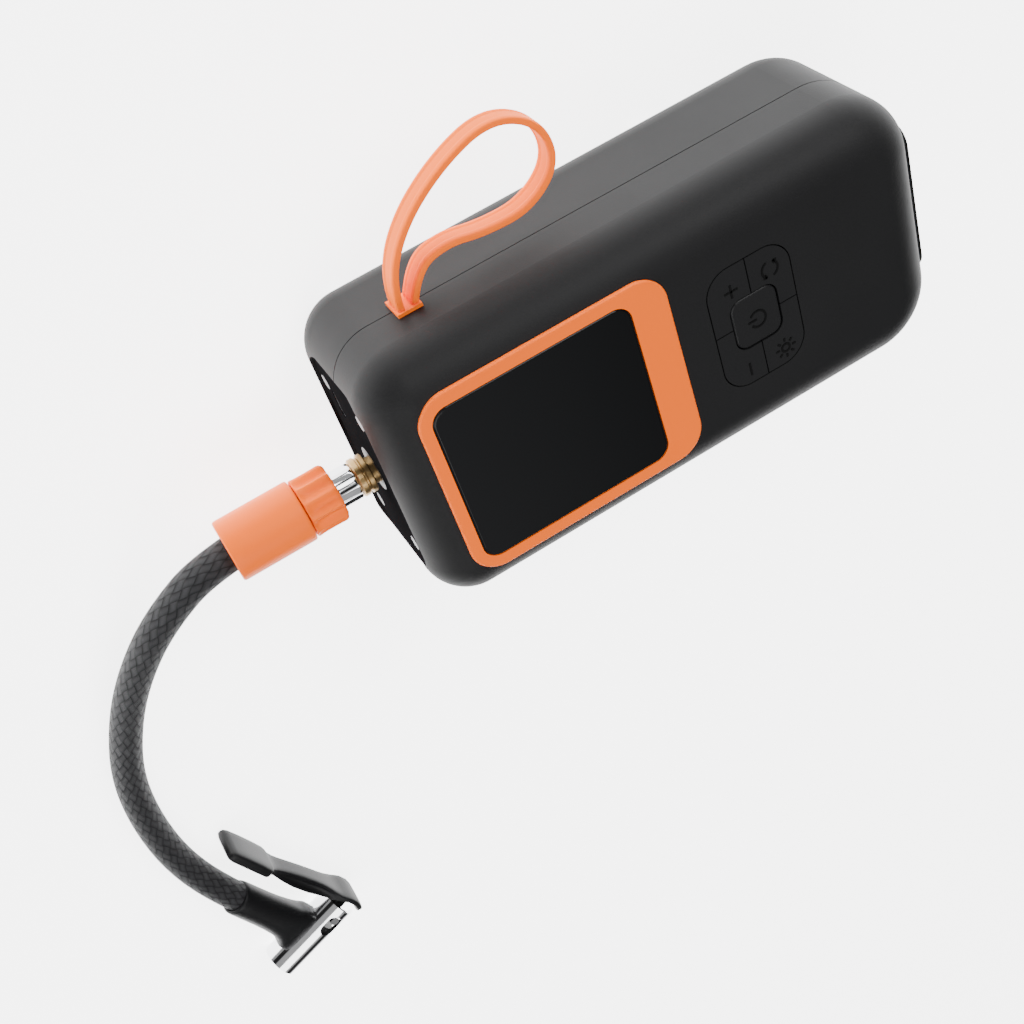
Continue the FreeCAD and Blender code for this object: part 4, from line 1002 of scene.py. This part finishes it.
@dataclass
class Studio:
    """Pale floor, soft lights and the camera."""

    shop: Workshop
    camera_at: Spot = (0.2554, 0.1311, 0.3615)
    looks_at: Spot = (-0.0415, 0.0518, 0.028)
    roll: float = 138.4
    lens: float = 54.69
    floor_reach: float = 6.0
    floor_height: float = -0.0002
    sky_strength: float = 0.45
    sky_bands: tuple[tuple[float, float], ...] = (
        (0.0, 0.9), (0.22, 0.9), (0.3, 0.04), (0.58, 0.04), (0.66, 1.0), (1.0, 1.0))

    def camera(self) -> None:
        """Place the camera."""
        data = bpy.data.cameras.new("camera")
        data.lens = self.lens
        data.sensor_width = 36.0
        data.clip_start = 0.01
        data.clip_end = 20.0
        view = bpy.data.objects.new("camera", data)
        view.location = self.camera_at
        aim = (Vector(self.looks_at) - Vector(self.camera_at)).to_track_quat("-Z", "Y")
        view.rotation_euler = (aim @ Quaternion((0, 0, 1), math.radians(self.roll))).to_euler()
        bpy.context.scene.collection.objects.link(view)
        bpy.context.scene.camera = view

    def lamp(self, name: str, at: Spot, size: float, power: float) -> None:
        """Hang one soft square lamp that faces the inflator."""
        data = bpy.data.lights.new(name, "AREA")
        data.shape = "SQUARE"
        data.size = size
        data.energy = power
        lamp = bpy.data.objects.new(name, data)
        lamp.location = at
        aim = Vector((-0.04, 0.06, 0.02)) - Vector(at)
        lamp.rotation_euler = aim.to_track_quat("-Z", "Y").to_euler()
        bpy.context.scene.collection.objects.link(lamp)

    def build(self) -> None:
        """Lay the floor and light it."""
        world = bpy.data.worlds.new("studio")
        world.use_nodes = True
        sky = next(node for node in world.node_tree.nodes if node.type == "BACKGROUND")
        tree = world.node_tree
        ramp = tree.nodes.new("ShaderNodeValToRGB")
        while len(ramp.color_ramp.elements) < len(self.sky_bands):
            ramp.color_ramp.elements.new(0.5)
        for element, (height, level) in zip(ramp.color_ramp.elements, self.sky_bands):
            element.position = height
            element.color = (level, level, level, 1.0)
        split = tree.nodes.new("ShaderNodeSeparateXYZ")
        direction = tree.nodes.new("ShaderNodeTexCoord")
        tree.links.new(direction.outputs["Generated"], split.inputs[0])
        tree.links.new(split.outputs["Z"], ramp.inputs["Fac"])
        tree.links.new(ramp.outputs["Color"], sky.inputs["Color"])
        sky.inputs["Strength"].default_value = self.sky_strength
        bpy.context.scene.world = world
        self.lamp("key_lamp", (0.9, -0.5, 1.1), 0.7, 20)
        self.lamp("top_lamp", (-0.5, 0.5, 1.4), 1.0, 16)
        self.lamp("side_lamp", (-0.2, 1.2, 0.6), 0.6, 5)
        data = bpy.data.meshes.new("floor")
        reach, height = self.floor_reach, self.floor_height
        data.from_pydata([(-reach, -reach, height), (reach, -reach, height),
                          (reach, reach, height), (-reach, reach, height)], [], [(0, 1, 2, 3)])
        data.materials.append(self.shop.material(FLOOR))
        floor = bpy.data.objects.new("floor", data)
        bpy.context.scene.collection.objects.link(floor)


def main() -> None:
    """Build every sub-assembly in order and log each one as built."""
    logging.basicConfig(level=logging.INFO, format="%(name)s: %(message)s")
    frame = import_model()
    shop = Workshop(frame["nodes"])
    studio = Studio(shop)
    studio.camera()
    for assembly in (ScrewCoupling(shop), ValveChuck(shop), Hose(shop), WristStrap(shop),
                     Keypad(shop), InflatorBody(shop), studio):
        assembly.build()
        LOG.info("%s built", type(assembly).__name__)


if __name__ == "__main__":
    main()
